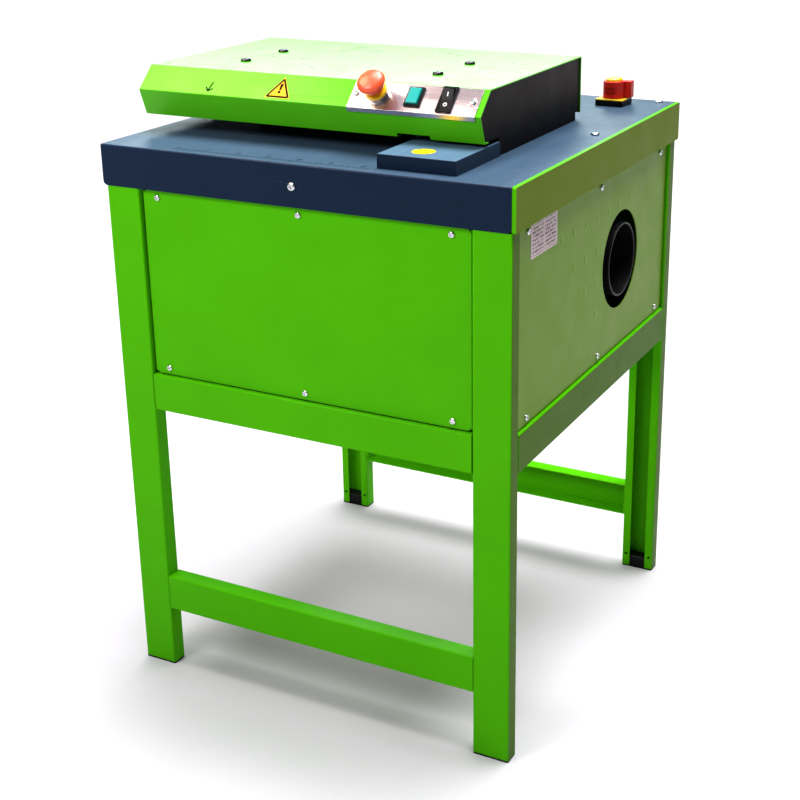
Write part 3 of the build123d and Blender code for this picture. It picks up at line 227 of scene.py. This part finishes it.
def brushed(name, color, roughness, stretch, anisotropic=0.0, relief=0.02 * MM, depth=0.72):
    """Metal with a directional grain, fine scratches and a little staining."""
    s = Shader(name)
    grain = s.noise(scale=1.0, detail=3.0, roughness=0.65, stretch=stretch)
    stains = s.noise(scale=30.0, detail=4.0)
    dark = shaded(color, depth)
    base = s.mix(s.spread(grain, 0.3, 0.7), dark, color)
    base = s.mix(s.spread(stains, 0.55, 0.8, 0.0, 0.25), base, dark)
    s.bump(grain, relief)
    smooth = roughness - 0.25 * (1.0 - depth)
    rough = roughness + 0.35 * (1.0 - depth)
    return s.finish(
        color=base,
        metallic=1.0,
        roughness=s.spread(s.math("ADD", grain, stains), 0.7, 1.3, smooth, rough),
        anisotropic=anisotropic,
    )


def cast(name, color, roughness, metallic, grain, relief):
    """Rough cast or dipped surface with blotches."""
    s = Shader(name)
    blotch = s.cells(scale=grain)
    fine = s.noise(scale=grain * 6.0, detail=3.0)
    base = s.mix(s.spread(blotch, 0.1, 0.7), shaded(color, 0.7), color)
    s.bump(s.math("ADD", fine, s.math("MULTIPLY", blotch, 0.5)), relief)
    rough = s.spread(fine, 0.3, 0.7, roughness - 0.08, roughness + 0.1)
    return s.finish(color=base, roughness=rough, metallic=metallic)


def moulded(name, color, roughness, grain=1500.0, relief=0.03 * MM, coat=0.0, specular=0.5):
    """Injection-moulded plastic: spark-eroded grain, rubbed lighter on its edges."""
    s = Shader(name)
    fine = s.noise(scale=grain, detail=2.0)
    wear = s.noise(scale=120.0, detail=4.0)
    light = tuple(min(1.0, 1.35 * c + 0.01) for c in color)
    base = s.mix(s.spread(wear, 0.35, 0.7, 0.0, 0.3), color, shaded(color, 0.85))
    base = s.mix(s.math("MULTIPLY", s.edges(0.5 * MM), 0.5), base, light)
    s.bump(fine, relief)
    rough = s.spread(wear, 0.3, 0.7, roughness - 0.04, roughness + 0.08)
    return s.finish(
        color=base, roughness=rough, coat=coat, coat_roughness=0.08, specular=specular
    )


def printed_label(name, node):
    """Film label with rows of illegible print in two columns, worked out from its place."""
    s = Shader(name)
    low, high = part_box(node)
    across = s.spread(s.axis("Y"), low.y, high.y)
    up = s.spread(s.axis("Z"), low.z, high.z)
    print_rows, half_row, half_gutter, margin, top_margin = 9.0, 0.24, 0.025, 0.06, 0.05
    row = s.math("FRACT", s.math("MULTIPLY", up, print_rows))
    letters = s.noise(scale=1.0, detail=1.0, roughness=0.5, stretch=(0.0, 420.0, 190.0))
    ink = s.near(row, 0.5, half_row)
    for mask in (
        s.math("GREATER_THAN", letters, 0.47),
        s.math("GREATER_THAN", across, margin),
        s.math("LESS_THAN", across, 1.0 - margin),
        s.math("GREATER_THAN", up, margin),
        s.math("LESS_THAN", up, 1.0 - top_margin),
        s.math("SUBTRACT", 1.0, s.near(across, 0.5, half_gutter)),
    ):
        ink = s.math("MULTIPLY", ink, mask)
    ageing = s.spread(s.noise(scale=60.0, detail=3.0), 0.35, 0.65)
    paper = s.mix(ageing, (0.42, 0.32, 0.32), (0.50, 0.40, 0.40))
    s.bump(s.noise(scale=900.0, detail=2.0), 0.02 * MM)
    rough = s.spread(s.noise(scale=45.0, detail=3.0), 0.3, 0.7, 0.32, 0.5)
    return s.finish(color=s.mix(ink, paper, (0.04, 0.03, 0.04)), roughness=rough)


def floor_paint(name):
    """Pale studio floor, very faintly mottled."""
    s = Shader(name)
    mottle = s.spread(s.noise(scale=3.0, detail=3.0), 0.3, 0.7)
    paint = s.mix(mottle, (0.415, 0.400, 0.412), (0.437, 0.420, 0.434))
    return s.finish(color=paint, roughness=0.9)


# The wear colours also give the edges a painted highlight
GREEN, GREEN_WEAR_AND_EDGE_HIGHLIGHT = (0.080, 0.41, 0.002), (0.20, 0.60, 0.04)
# Painted shade: the side panels get a darker, duller copy of the stand's green, standing in for the shade on the
# sides
SIDE_GREEN_SHADED, SIDE_SHADED_WEAR_AND_EDGE_HIGHLIGHT = (0.135, 0.245, 0.016), (0.22, 0.36, 0.05)
# Painted shade colours of the outer side faces of the legs and of the side rails
LEG_SIDE_SHADE, RAIL_SIDE_SHADE = (0.060, 0.130, 0.004), (0.115, 0.165, 0.004)
NAVY, NAVY_WEAR_AND_EDGE_HIGHLIGHT = (0.003, 0.014, 0.038), (0.05, 0.09, 0.15)
# Painted light: lighter colours of the top faces of the table and the guide block, standing in for light from
# above
TABLE_TOP_PAINTED_LIGHT, BLOCK_TOP_PAINTED_LIGHT = (0.045, 0.078, 0.120), (0.085, 0.145, 0.215)


def green(name, roughness, specular, color=GREEN, wear_and_edge_highlight=GREEN_WEAR_AND_EDGE_HIGHLIGHT, painted_side_shade=None):
    """The stand's green; the side argument is a node, whose outer side faces get a painted shade, and the colour
    of that shade.
    """
    if painted_side_shade:
        node, side_shade_color = painted_side_shade
        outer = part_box(node)[1]
        painted_side_shade = (outer.x, outer.z, side_shade_color)
    return powder_coat(
        name, color, wear_and_edge_highlight, roughness, grain=800.0, relief=0.05 * MM, specular=specular, painted_side_shade=painted_side_shade
    )


def navy(name, node=None, lighter=None):
    """The stand's dark blue; given a node, its top face is painted lighter with streaks, a painted light from
    above.
    """
    return powder_coat(
        name, NAVY, NAVY_WEAR_AND_EDGE_HIGHLIGHT, roughness=0.44, grain=1100.0, relief=0.12 * MM,
        specular=0.14, sheen=0.12, painted_top_light=(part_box(node)[1].z, lighter) if node else None,
    )


def printed(name, color, roughness, grain, specular=0.5):
    """Ink or coloured film, almost smooth."""
    return moulded(name, color, roughness, grain=grain, relief=0.01 * MM, specular=specular)


LOOKS = {
    # the outer side faces of the green frame get a painted shade
    "green_paint": green("green_powder_coat", 0.32, 0.05, painted_side_shade=("leg_front_right", LEG_SIDE_SHADE)),
    "navy_paint": navy("navy_powder_coat"),
    "black_plastic": moulded("black_plastic", (0.009, 0.009, 0.010), 0.34, specular=0.15),
    "dark_steel": brushed("blackened_steel", (0.08, 0.08, 0.09), 0.35, (900.0, 900.0, 60.0)),
    "zinc": brushed("zinc_plate", (0.72, 0.73, 0.76), 0.22, (500.0, 500.0, 500.0)),
    # The steel's grey is its own; its pinkish tint is a painted reflection, standing in for the pinkish
    # reflections on the control plate
    "stainless": brushed(
        "brushed_stainless", (0.57, 0.49, 0.525), 0.27, (14.0, 1500.0, 1500.0),
        anisotropic=0.4, relief=0.0012 * MM, depth=0.96,
    ),
    "chrome": brushed(
        "polished_chrome", (0.80, 0.76, 0.72), 0.10, (260.0, 260.0, 260.0), relief=0.004 * MM
    ),
    "yellow_plastic": moulded("yellow_plastic", (0.80, 0.50, 0.015), 0.32, coat=0.3),
    "red_plastic": moulded("red_plastic", (0.58, 0.020, 0.012), 0.36, specular=0.25),
    "tool_steel": brushed(
        "ground_tool_steel", (0.50, 0.50, 0.52), 0.26, (1200.0, 90.0, 90.0), anisotropic=0.3
    ),
    "cast_alloy": cast(
        "cast_alloy", (0.42, 0.43, 0.45), 0.5, metallic=0.7, grain=240.0, relief=0.2 * MM
    ),
    "motor_paint": cast(
        "motor_enamel", (0.05, 0.075, 0.12), 0.36, metallic=0.0, grain=300.0, relief=0.12 * MM
    ),
    "galvanised": cast(
        "galvanised_sheet", (0.55, 0.57, 0.60), 0.38, metallic=0.9, grain=90.0, relief=0.03 * MM
    ),
    "teal_plastic": moulded(
        "lit_teal_lens", (0.004, 0.30, 0.27), 0.18, relief=0.01 * MM, coat=0.6
    ),
    "label": printed_label("rating_label_film", "rating_label"),
}
# Side panels and their pressed marks: the green in painted shade
SIDE_SHADED_PAINT = green("side_shaded_powder_coat", 0.34, 0.12, SIDE_GREEN_SHADED, SIDE_SHADED_WEAR_AND_EDGE_HIGHLIGHT)
# Side rails: their outer faces get a painted shade
RAIL_PAINT = green("rail_powder_coat", 0.34, 0.04, painted_side_shade=("side_rail_right", RAIL_SIDE_SHADE))
END_PLATE_PAINT = powder_coat(
    "dark_end_plate", (0.010, 0.005, 0.005), (0.08, 0.06, 0.055),
    roughness=0.34, grain=1000.0, relief=0.06 * MM, specular=0.07,
)
# Nodes that look different from the rest of their material slot
NODE_LOOKS = {
    # Top faces of the table and the guide block carry painted light from above
    "table_top": navy("navy_table_top", "table_top", TABLE_TOP_PAINTED_LIGHT),
    "guide_block": navy("navy_block_top", "guide_block", BLOCK_TOP_PAINTED_LIGHT),
    "hood": green("hood_powder_coat", 0.32, 0.24),
    "panel_right": SIDE_SHADED_PAINT,
    "panel_left": SIDE_SHADED_PAINT,
    "side_rail_right": RAIL_PAINT,
    "side_rail_left": RAIL_PAINT,
    "end_plate_right": END_PLATE_PAINT,
    "end_plate_left": END_PLATE_PAINT,
    "estop_mushroom": moulded(
        "estop_red", (0.76, 0.10, 0.035), 0.34, relief=0.01 * MM, coat=0.1
    ),
}
BLACK_INK = printed("black_ink", (0.004, 0.004, 0.005), 0.6, grain=2600.0, specular=0.03)
WHITE_INK = printed("white_ink", (0.78, 0.80, 0.82), 0.40, grain=2600.0)
YELLOW_FILM = printed("yellow_film", (0.80, 0.62, 0.01), 0.4, grain=700.0, specular=0.15)
WARNING_FILM = printed("warning_film", (0.62, 0.33, 0.01), 0.4, grain=700.0, specular=0.15)

for part in frame["record"]["subparts"]:
    skin = NODES[part["node"]].data.materials
    skin.clear()
    skin.append(NODE_LOOKS.get(part["node"], LOOKS[part["material_slot"]]))


# ---------------------------------------------------------------- edges of the CAD nodes
def soften(node, width):
    """Joins the imported faces and rounds the sharp edges, so that they catch the light."""
    weld = node.modifiers.new("weld", "WELD")
    weld.merge_threshold = 0.002 * MM
    bevel = node.modifiers.new("bevel", "BEVEL")
    bevel.width = width
    bevel.segments = 2
    bevel.limit_method = "ANGLE"
    bevel.angle_limit = math.radians(40)
    bevel.harden_normals = True


SOFT_EDGES = {
    0.5 * MM: (
        "leg_front_left", "leg_front_right", "leg_rear_left", "leg_rear_right",
        "rail_front", "rail_rear", "rail_left", "rail_right",
        "stretcher_front", "stretcher_rear", "side_rail_left", "side_rail_right",
        "table_top", "hood", "end_plate_right", "guide_block", "motor_saddles",
    ),
    0.25 * MM: (
        "control_plate", "start_cap", "rocker_frame", "start_frame", "rocker",
        "switch_base", "switch_plate", "adjuster_knob",
    ),
}
for width, names in SOFT_EDGES.items():
    for name in names:
        soften(NODES[name], width)


# ---------------------------------------------------------------- pieces of print and trim
def add_piece(name, mesh, material, body):
    """A piece whose mesh is already in the frame: its object sits at the origin."""
    mesh.materials.clear()
    mesh.materials.append(material)
    made = bpy.data.objects.new(name, mesh)
    bpy.context.scene.collection.objects.link(made)
    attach(made, body)
    return made


def slabs(name, outlines, place, thickness, material, body):
    """Flat closed outlines, each a list of (x, y) in metres on a plane, raised by the thickness."""
    shape = bmesh.new()
    for outline in outlines:
        corners = [shape.verts.new((x, y, 0.0)) for x, y in outline]
        face = shape.faces.new(corners)
        face.normal_update()
        if face.normal.z < 0:
            face.normal_flip()
        top = bmesh.ops.extrude_face_region(shape, geom=[face])
        lifted = [g for g in top["geom"] if isinstance(g, bmesh.types.BMVert)]
        bmesh.ops.translate(shape, verts=lifted, vec=(0.0, 0.0, thickness))
    bmesh.ops.recalc_face_normals(shape, faces=shape.faces)
    shape.transform(place)
    mesh = bpy.data.meshes.new(name)
    shape.to_mesh(mesh)
    shape.free()
    return add_piece(name, mesh, material, body)


def rectangle(x, y, width, height):
    """Closed outline of a rectangle round its middle."""
    w, h = width / 2, height / 2
    return [(x - w, y - h), (x + w, y - h), (x + w, y + h), (x - w, y + h)]


def arc_band(x, y, radius, width, start, end, steps=24):
    """Closed outline of part of a ring, from start to end in degrees."""
    turns = [math.radians(start + (end - start) * i / steps) for i in range(steps + 1)]
    outer, inner = radius + width / 2, radius - width / 2
    outline = [(x + outer * math.cos(t), y + outer * math.sin(t)) for t in turns]
    return outline + [(x + inner * math.cos(t), y + inner * math.sin(t)) for t in reversed(turns)]


def disc(x, y, radius, steps=48):
    """Closed outline of a circle."""
    turns = [2 * math.pi * i / steps for i in range(steps)]
    return [(x + radius * math.cos(t), y + radius * math.sin(t)) for t in turns]


def stroke(start, end, width):
    """Closed outline of a straight bar between two points."""
    (x0, y0), (x1, y1) = start, end
    along = Vector((x1 - x0, y1 - y0)).normalized() * width / 2
    x, y = -along.y, along.x
    return [(x0 + x, y0 + y), (x0 - x, y0 - y), (x1 - x, y1 - y), (x1 + x, y1 + y)]


def plane_at(origin, right, out):
    """Matrix of a plane with x along right, y up it and z outward."""
    right, out = Vector(right).normalized(), Vector(out).normalized()
    up = out.cross(right)
    turn = Matrix((right, up, out)).transposed().to_4x4()
    return Matrix.Translation(Vector(origin)) @ turn


def raised(place, height=INK):
    """The same plane, that much further out."""
    return place @ Matrix.Translation((0, 0, height))


FACET_OUT = -Vector(JOINTS["estop_push"]["axis"]).normalized()
FACET = math.hypot(33, 32) * MM  # from the top bend to the nose
HINGE_DEPTH = 1.5 * MM  # the rocker's hinge lies under the middle of the facet
ROCKER_HINGE = Vector(JOINTS["rocker_tilt"]["pos_m"])
FACET_MIDDLE = ROCKER_HINGE + FACET_OUT * HINGE_DEPTH
UP_FACET = FACET_OUT.cross(Vector((1, 0, 0)))


def on_facet(x, along):
    """Plane on the slanted facet, along it from the top bend towards the nose."""
    middle = Vector((x, FACET_MIDDLE.y, FACET_MIDDLE.z))
    return plane_at(middle + UP_FACET * (FACET / 2 - along), (1, 0, 0), FACET_OUT)


# Feed arrow, pointing down the facet and a little to the left
ARROW_STROKE = 2.3 * MM
ARROW_TAIL, ARROW_TIP, ARROW_CORNER = (2 * MM, 8 * MM), (-1 * MM, -7 * MM), (-1.3 * MM, -8 * MM)
ARROW_BARBS = (-6.5 * MM, -1.0 * MM), (6 * MM, -3 * MM)
slabs(
    "feed_arrow",
    [stroke(ARROW_TAIL, ARROW_TIP, ARROW_STROKE)]
    + [stroke(ARROW_CORNER, barb, ARROW_STROKE) for barb in ARROW_BARBS],
    on_facet(-204 * MM, 31 * MM), INK, BLACK_INK, "stand",
)

# Warning triangle with a plain exclamation mark
TRIANGLE_W, TRIANGLE_H = 42 * MM, 36 * MM
RIM_SHARE, RIM_STROKE, RIM_DROP = 0.84, 2.6 * MM, 0.16  # the dark rim inside the film's edge
BAR_TOP, BAR_BOTTOM, BAR_HALF_TOP, BAR_HALF_BOTTOM = 6 * MM, -4.5 * MM, 2.2 * MM, 1.3 * MM
DOT_Y, DOT_R = -8 * MM, 2.2 * MM
triangle_place = on_facet(-86.5 * MM, 23 * MM)
slabs(
    "warning_triangle_film",
    [[(-TRIANGLE_W / 2, -TRIANGLE_H / 2), (TRIANGLE_W / 2, -TRIANGLE_H / 2), (0, TRIANGLE_H / 2)]],
    triangle_place, INK, WARNING_FILM, "stand",
)
rim_half_w, rim_half_h = TRIANGLE_W / 2 * RIM_SHARE, TRIANGLE_H / 2 * RIM_SHARE
rim_shift = -TRIANGLE_H * (1 - RIM_SHARE) * RIM_DROP
rim_left, rim_right = (-rim_half_w, -rim_half_h + rim_shift), (rim_half_w, -rim_half_h + rim_shift)
rim_top = (0, rim_half_h + rim_shift)
slabs(
    "warning_triangle_print",
    [
        stroke(rim_left, rim_right, RIM_STROKE),
        stroke(rim_left, rim_top, RIM_STROKE),
        stroke(rim_right, rim_top, RIM_STROKE),
        [
            (-BAR_HALF_TOP, BAR_TOP), (-BAR_HALF_BOTTOM, BAR_BOTTOM),
            (BAR_HALF_BOTTOM, BAR_BOTTOM), (BAR_HALF_TOP, BAR_TOP),
        ],
        disc(0, DOT_Y, DOT_R, 20),
    ],
    raised(triangle_place), INK, BLACK_INK, "stand",
)

# Round sticker on the guide block, with a plain turning arrow
STICKER_R, TURN_R, TURN_STROKE = 16 * MM, 11 * MM, 1.1 * MM
ARROWHEAD = (-11.5 * MM, 4 * MM), (-6 * MM, 8 * MM), (-10.5 * MM, 10 * MM)
sticker_place = Matrix.Translation((166 * MM, -266 * MM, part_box("guide_block")[1].z))
slabs(
    "block_sticker", [disc(0, 0, STICKER_R)],
    sticker_place, INK, YELLOW_FILM, "stand",
)
slabs(
    "block_sticker_print",
    [
        arc_band(0, 0, TURN_R, TURN_STROKE, 30, 140),
        arc_band(0, 0, TURN_R, TURN_STROKE, 210, 320),
        list(ARROWHEAD),
        [(-x, -y) for x, y in ARROWHEAD],
    ],
    raised(sticker_place), INK, BLACK_INK, "stand",
)

# Ruler printed on the table in front of the feed slot
RULER_LEFT, RULER_RIGHT, RULER_Y = -206 * MM, 110 * MM, -312 * MM
TICK_STEP, TICK_W = 5 * MM, 1.1 * MM
LONG_TICK, MIDDLE_TICK, SHORT_TICK = 9 * MM, 6.5 * MM, 4 * MM
STEPS_PER_NUMBER, NUMBER_H, NUMBER_RISE = 10, 8 * MM, 10.5 * MM
TABLE_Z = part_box("table_top")[1].z
tick_count = int((RULER_RIGHT - RULER_LEFT) / TICK_STEP) + 1
ticks = []
for index in range(tick_count):
    length = SHORT_TICK if index % 2 else MIDDLE_TICK
    if index % STEPS_PER_NUMBER == 0:
        length = LONG_TICK
    ticks.append(rectangle(RULER_LEFT + index * TICK_STEP, RULER_Y + length / 2, TICK_W, length))
slabs(
    "ruler_ticks", ticks, Matrix.Translation((0, 0, TABLE_Z)),
    INK, BLACK_INK, "stand",
)


def number(text, x, y, size):
    """A printed number as a mesh, its middle at x."""
    letters = bpy.data.curves.new("number", "FONT")
    letters.body = text
    letters.size = size
    letters.align_x = "CENTER"
    letters.extrude = INK / 2
    carrier = bpy.data.objects.new("number", letters)
    mesh = bpy.data.meshes.new_from_object(carrier)
    bpy.data.objects.remove(carrier)
    mesh.transform(Matrix.Translation((x, y, TABLE_Z + INK / 2)))
    return mesh


numbers = bmesh.new()
for index in range(0, tick_count, STEPS_PER_NUMBER):
    centimetres = str(round(index * TICK_STEP / (10 * MM)))
    x = RULER_LEFT + index * TICK_STEP
    numbers.from_mesh(number(centimetres, x, RULER_Y + NUMBER_RISE, NUMBER_H))
ruler_numbers = bpy.data.meshes.new("ruler_numbers")
numbers.to_mesh(ruler_numbers)
numbers.free()
add_piece("ruler_numbers", ruler_numbers, BLACK_INK, "stand")

# Foam seals behind the lower edges of the panels, which stand just clear of the rails
SEAL_LENGTH, SEAL_T, SEAL_H = 500 * MM, 3 * MM, 9 * MM
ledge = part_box("rail_rear")[1].z
for edge, inner, along, out in (
    ("rear", (0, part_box("panel_rear")[0].y, 0), (1, 0, 0), (0, -1, 0)),
    ("front", (0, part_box("panel_front")[1].y, 0), (-1, 0, 0), (0, 1, 0)),
    ("left", (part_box("panel_left")[1].x, 0, 0), (0, 1, 0), (1, 0, 0)),
    ("right", (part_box("panel_right")[0].x, 0, 0), (0, -1, 0), (-1, 0, 0)),
):
    slabs(
        "panel_seal_" + edge, [rectangle(0, ledge + SEAL_H / 2, SEAL_LENGTH, SEAL_H)],
        plane_at(inner, along, out), SEAL_T, LOOKS["black_plastic"], "stand",
    )

# Marks on the rocker: a bar above, a ring below, each on its own slanted half of the cap
ROCKER_LEAN = math.radians(10)
END_TOP, DIP, HALF = 7.5 * MM, 5.5 * MM, 15.4 * MM  # heights over the hinge, and half its length
SLANT = math.atan2(END_TOP - DIP, HALF)
BAR_W, BAR_H = 1.3 * MM, 6 * MM
RING_R, RING_STROKE = 2.3 * MM, 1.1 * MM
rocker_out = Matrix.Rotation(ROCKER_LEAN, 3, "X") @ FACET_OUT
rocker_place = plane_at(ROCKER_HINGE, (1, 0, 0), rocker_out)
half_rings = [arc_band(0, 0, RING_R, RING_STROKE, turn, turn + 180) for turn in (0, 180)]
for name, half, outlines in (
    ("rocker_bar_mark", 1, [rectangle(0, 0, BAR_W, BAR_H)]),
    ("rocker_ring_mark", -1, half_rings),
):
    on_half = Matrix.Translation((0, half * HALF / 2, (END_TOP + DIP) / 2))
    tilt = Matrix.Rotation(half * SLANT, 4, "X")
    slabs(name, outlines, rocker_place @ on_half @ tilt, INK, WHITE_INK, "rocker_switch")

# Shallow pressed marks on the right panel, in rows of a grid before and above the port
MARK_R, MARK_H, MARK_TALLER = 6 * MM, 0.7 * MM, 1.25
MARK_SINK = 0.05 * MM  # how far a mark's edge lies under the panel's face
MARK_PITCH_Y, MARK_PITCH_Z = 45.5 * MM, 48.5 * MM
MARK_RINGS, MARK_SIDES = 5, 24
MARK_ROWS = (range(-3, 4), range(-2, 1), range(-1, 1), range(0, 1))  # the top row comes first
panel_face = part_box("panel_right")[1].x
port_low, port_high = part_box("dust_pipe")
grid_y = (port_low.y + port_high.y) / 2 - 102 * MM
grid_z = (port_low.z + port_high.z) / 2 + 87.5 * MM
MARK_TURNS = [2 * math.pi * i / MARK_SIDES for i in range(MARK_SIDES)]


def pressed_mark(shape, y, z):
    """A low dome with a flat back, added to the shape."""
    rings = []
    for ring in range(MARK_RINGS):
        share = ring / MARK_RINGS
        radius = MARK_R * (1 - share)
        x = panel_face + MARK_H * math.sin(share * math.pi / 2) ** 2
        if ring == 0:
            x -= MARK_SINK
        rings.append([
            shape.verts.new((x, y + radius * math.cos(t), z + radius * MARK_TALLER * math.sin(t)))
            for t in MARK_TURNS
        ])
    top = shape.verts.new((panel_face + MARK_H, y, z))
    for i in range(MARK_SIDES):
        j = (i + 1) % MARK_SIDES
        for lower, upper in zip(rings, rings[1:]):
            shape.faces.new((lower[i], lower[j], upper[j], upper[i]))
        shape.faces.new((rings[-1][i], rings[-1][j], top))
    shape.faces.new(list(reversed(rings[0])))


marks = bmesh.new()
for row, columns in enumerate(MARK_ROWS):
    for column in columns:
        pressed_mark(marks, grid_y + column * MARK_PITCH_Y, grid_z - row * MARK_PITCH_Z)
bmesh.ops.recalc_face_normals(marks, faces=marks.faces)
for face in marks.faces:
    face.smooth = len(face.verts) < MARK_SIDES
panel_marks = bpy.data.meshes.new("panel_marks")
marks.to_mesh(panel_marks)
marks.free()
add_piece("panel_marks", panel_marks, SIDE_SHADED_PAINT, "stand")


# ---------------------------------------------------------------- floor, light and camera
FLOOR_HALF = 60.0
ground = bmesh.new()
bmesh.ops.create_grid(ground, x_segments=1, y_segments=1, size=FLOOR_HALF)
ground_mesh = bpy.data.meshes.new("floor")
ground.to_mesh(ground_mesh)
ground.free()
ground_mesh.materials.append(floor_paint("studio_floor"))
floor = bpy.data.objects.new("floor", ground_mesh)
bpy.context.scene.collection.objects.link(floor)

world = bpy.data.worlds.new("studio")
bpy.context.scene.world = world
world.use_nodes = True
world_nodes, world_links = world.node_tree.nodes, world.node_tree.links
sky = world_nodes["Background"]  # what lights the machine
sky.inputs["Color"].default_value = (0.93, 0.97, 1.0, 1.0)
sky.inputs["Strength"].default_value = 0.10
backdrop = world_nodes.new("ShaderNodeBackground")  # what is seen behind it
backdrop.inputs["Color"].default_value = (1.0, 1.0, 1.0, 1.0)
backdrop.inputs["Strength"].default_value = 1.0
ray = world_nodes.new("ShaderNodeLightPath")
choice = world_nodes.new("ShaderNodeMixShader")
world_links.new(ray.outputs["Is Camera Ray"], choice.inputs["Fac"])
world_links.new(sky.outputs["Background"], choice.inputs[1])
world_links.new(backdrop.outputs["Background"], choice.inputs[2])
world_links.new(choice.outputs["Shader"], world_nodes["World Output"].inputs["Surface"])


def add_light(name, data, color, place, target):
    """A light at a place, turned towards the target."""
    data.color = color
    light = bpy.data.objects.new(name, data)
    light.location = place
    light.rotation_mode = "QUATERNION"
    light.rotation_quaternion = (Vector(target) - light.location).to_track_quat("-Z", "Y")
    bpy.context.scene.collection.objects.link(light)
    return light


def sun(name, place, strength, spread, color):
    """Even light from a direction, as wide as a big overhead softbox."""
    data = bpy.data.lights.new(name, "SUN")
    data.energy = strength
    data.angle = math.radians(spread)
    add_light(name, data, color, place, (0, 0, 0))


def softbox(name, place, target, size, power, color=(1.0, 1.0, 1.0), sheen_only=False):
    """A rectangular light that the camera doesn't see; sheen_only ones add gloss alone."""
    data = bpy.data.lights.new(name, "AREA")
    data.shape = "RECTANGLE"
    data.size, data.size_y = size
    data.energy = power
    light = add_light(name, data, color, place, target)
    light.visible_camera = False
    light.visible_diffuse = not sheen_only


sun("overhead", place=(0.2, 0.55, 3.0), strength=7.2, spread=42, color=(0.97, 0.98, 1.0))
softbox(
    "under_fill", place=(0, 0.05, 0.40), target=(0, 0.05, 0),
    size=(0.5, 0.25), power=1.5, color=(1.0, 0.88, 1.0),
)
softbox(
    "front_fill", place=(-0.7, -1.95, 2.05), target=(0, -0.3, 1.0), size=(1.0, 0.8), power=33
)
softbox(
    "rear_glare", place=(-0.60, 0.95, 1.42), target=(-0.08, -0.15, 0.9),
    size=(1.3, 0.45), power=13.5, color=(0.83, 0.96, 0.92), sheen_only=True,
)
softbox(
    "facet_glare", place=(-0.80, -0.53, 1.80), target=(-0.30, -0.21, 0.92),
    size=(0.60, 0.5), power=15, color=(1.0, 0.72, 0.5), sheen_only=True,
)
softbox(
    "plate_glare", place=(-0.8, -0.85, 2.6), target=(0.05, -0.2, 0.92),
    size=(1.8, 1.4), power=4.2, color=(1.0, 0.96, 0.98), sheen_only=True,
)

CAMERA_PLACE = (1.01785, -1.89449, 1.25252)
AZIMUTH, ELEVATION, ROLL = math.radians(27.44), math.radians(18.81), math.radians(-0.67)
LENS, SENSOR = 64.04, 36.0
SHIFT_X, SHIFT_Y = -0.0375, -0.10
forward = Vector((
    -math.sin(AZIMUTH) * math.cos(ELEVATION),
    math.cos(AZIMUTH) * math.cos(ELEVATION),
    -math.sin(ELEVATION),
))
level = Vector((math.cos(AZIMUTH), math.sin(AZIMUTH), 0))
upright = level.cross(forward)
frame_right = math.cos(ROLL) * level + math.sin(ROLL) * upright
frame_up = -math.sin(ROLL) * level + math.cos(ROLL) * upright
camera_data = bpy.data.cameras.new("camera")
camera_data.lens = LENS
camera_data.sensor_width = SENSOR
camera_data.shift_x = SHIFT_X
camera_data.shift_y = SHIFT_Y
camera = bpy.data.objects.new("camera", camera_data)
turn = Matrix((frame_right, frame_up, -forward)).transposed().to_4x4()
camera.matrix_world = Matrix.Translation(CAMERA_PLACE) @ turn
bpy.context.scene.collection.objects.link(camera)
bpy.context.scene.camera = camera
bpy.context.scene.view_settings.view_transform = "Standard"
bpy.context.scene.view_settings.look = "Medium High Contrast"
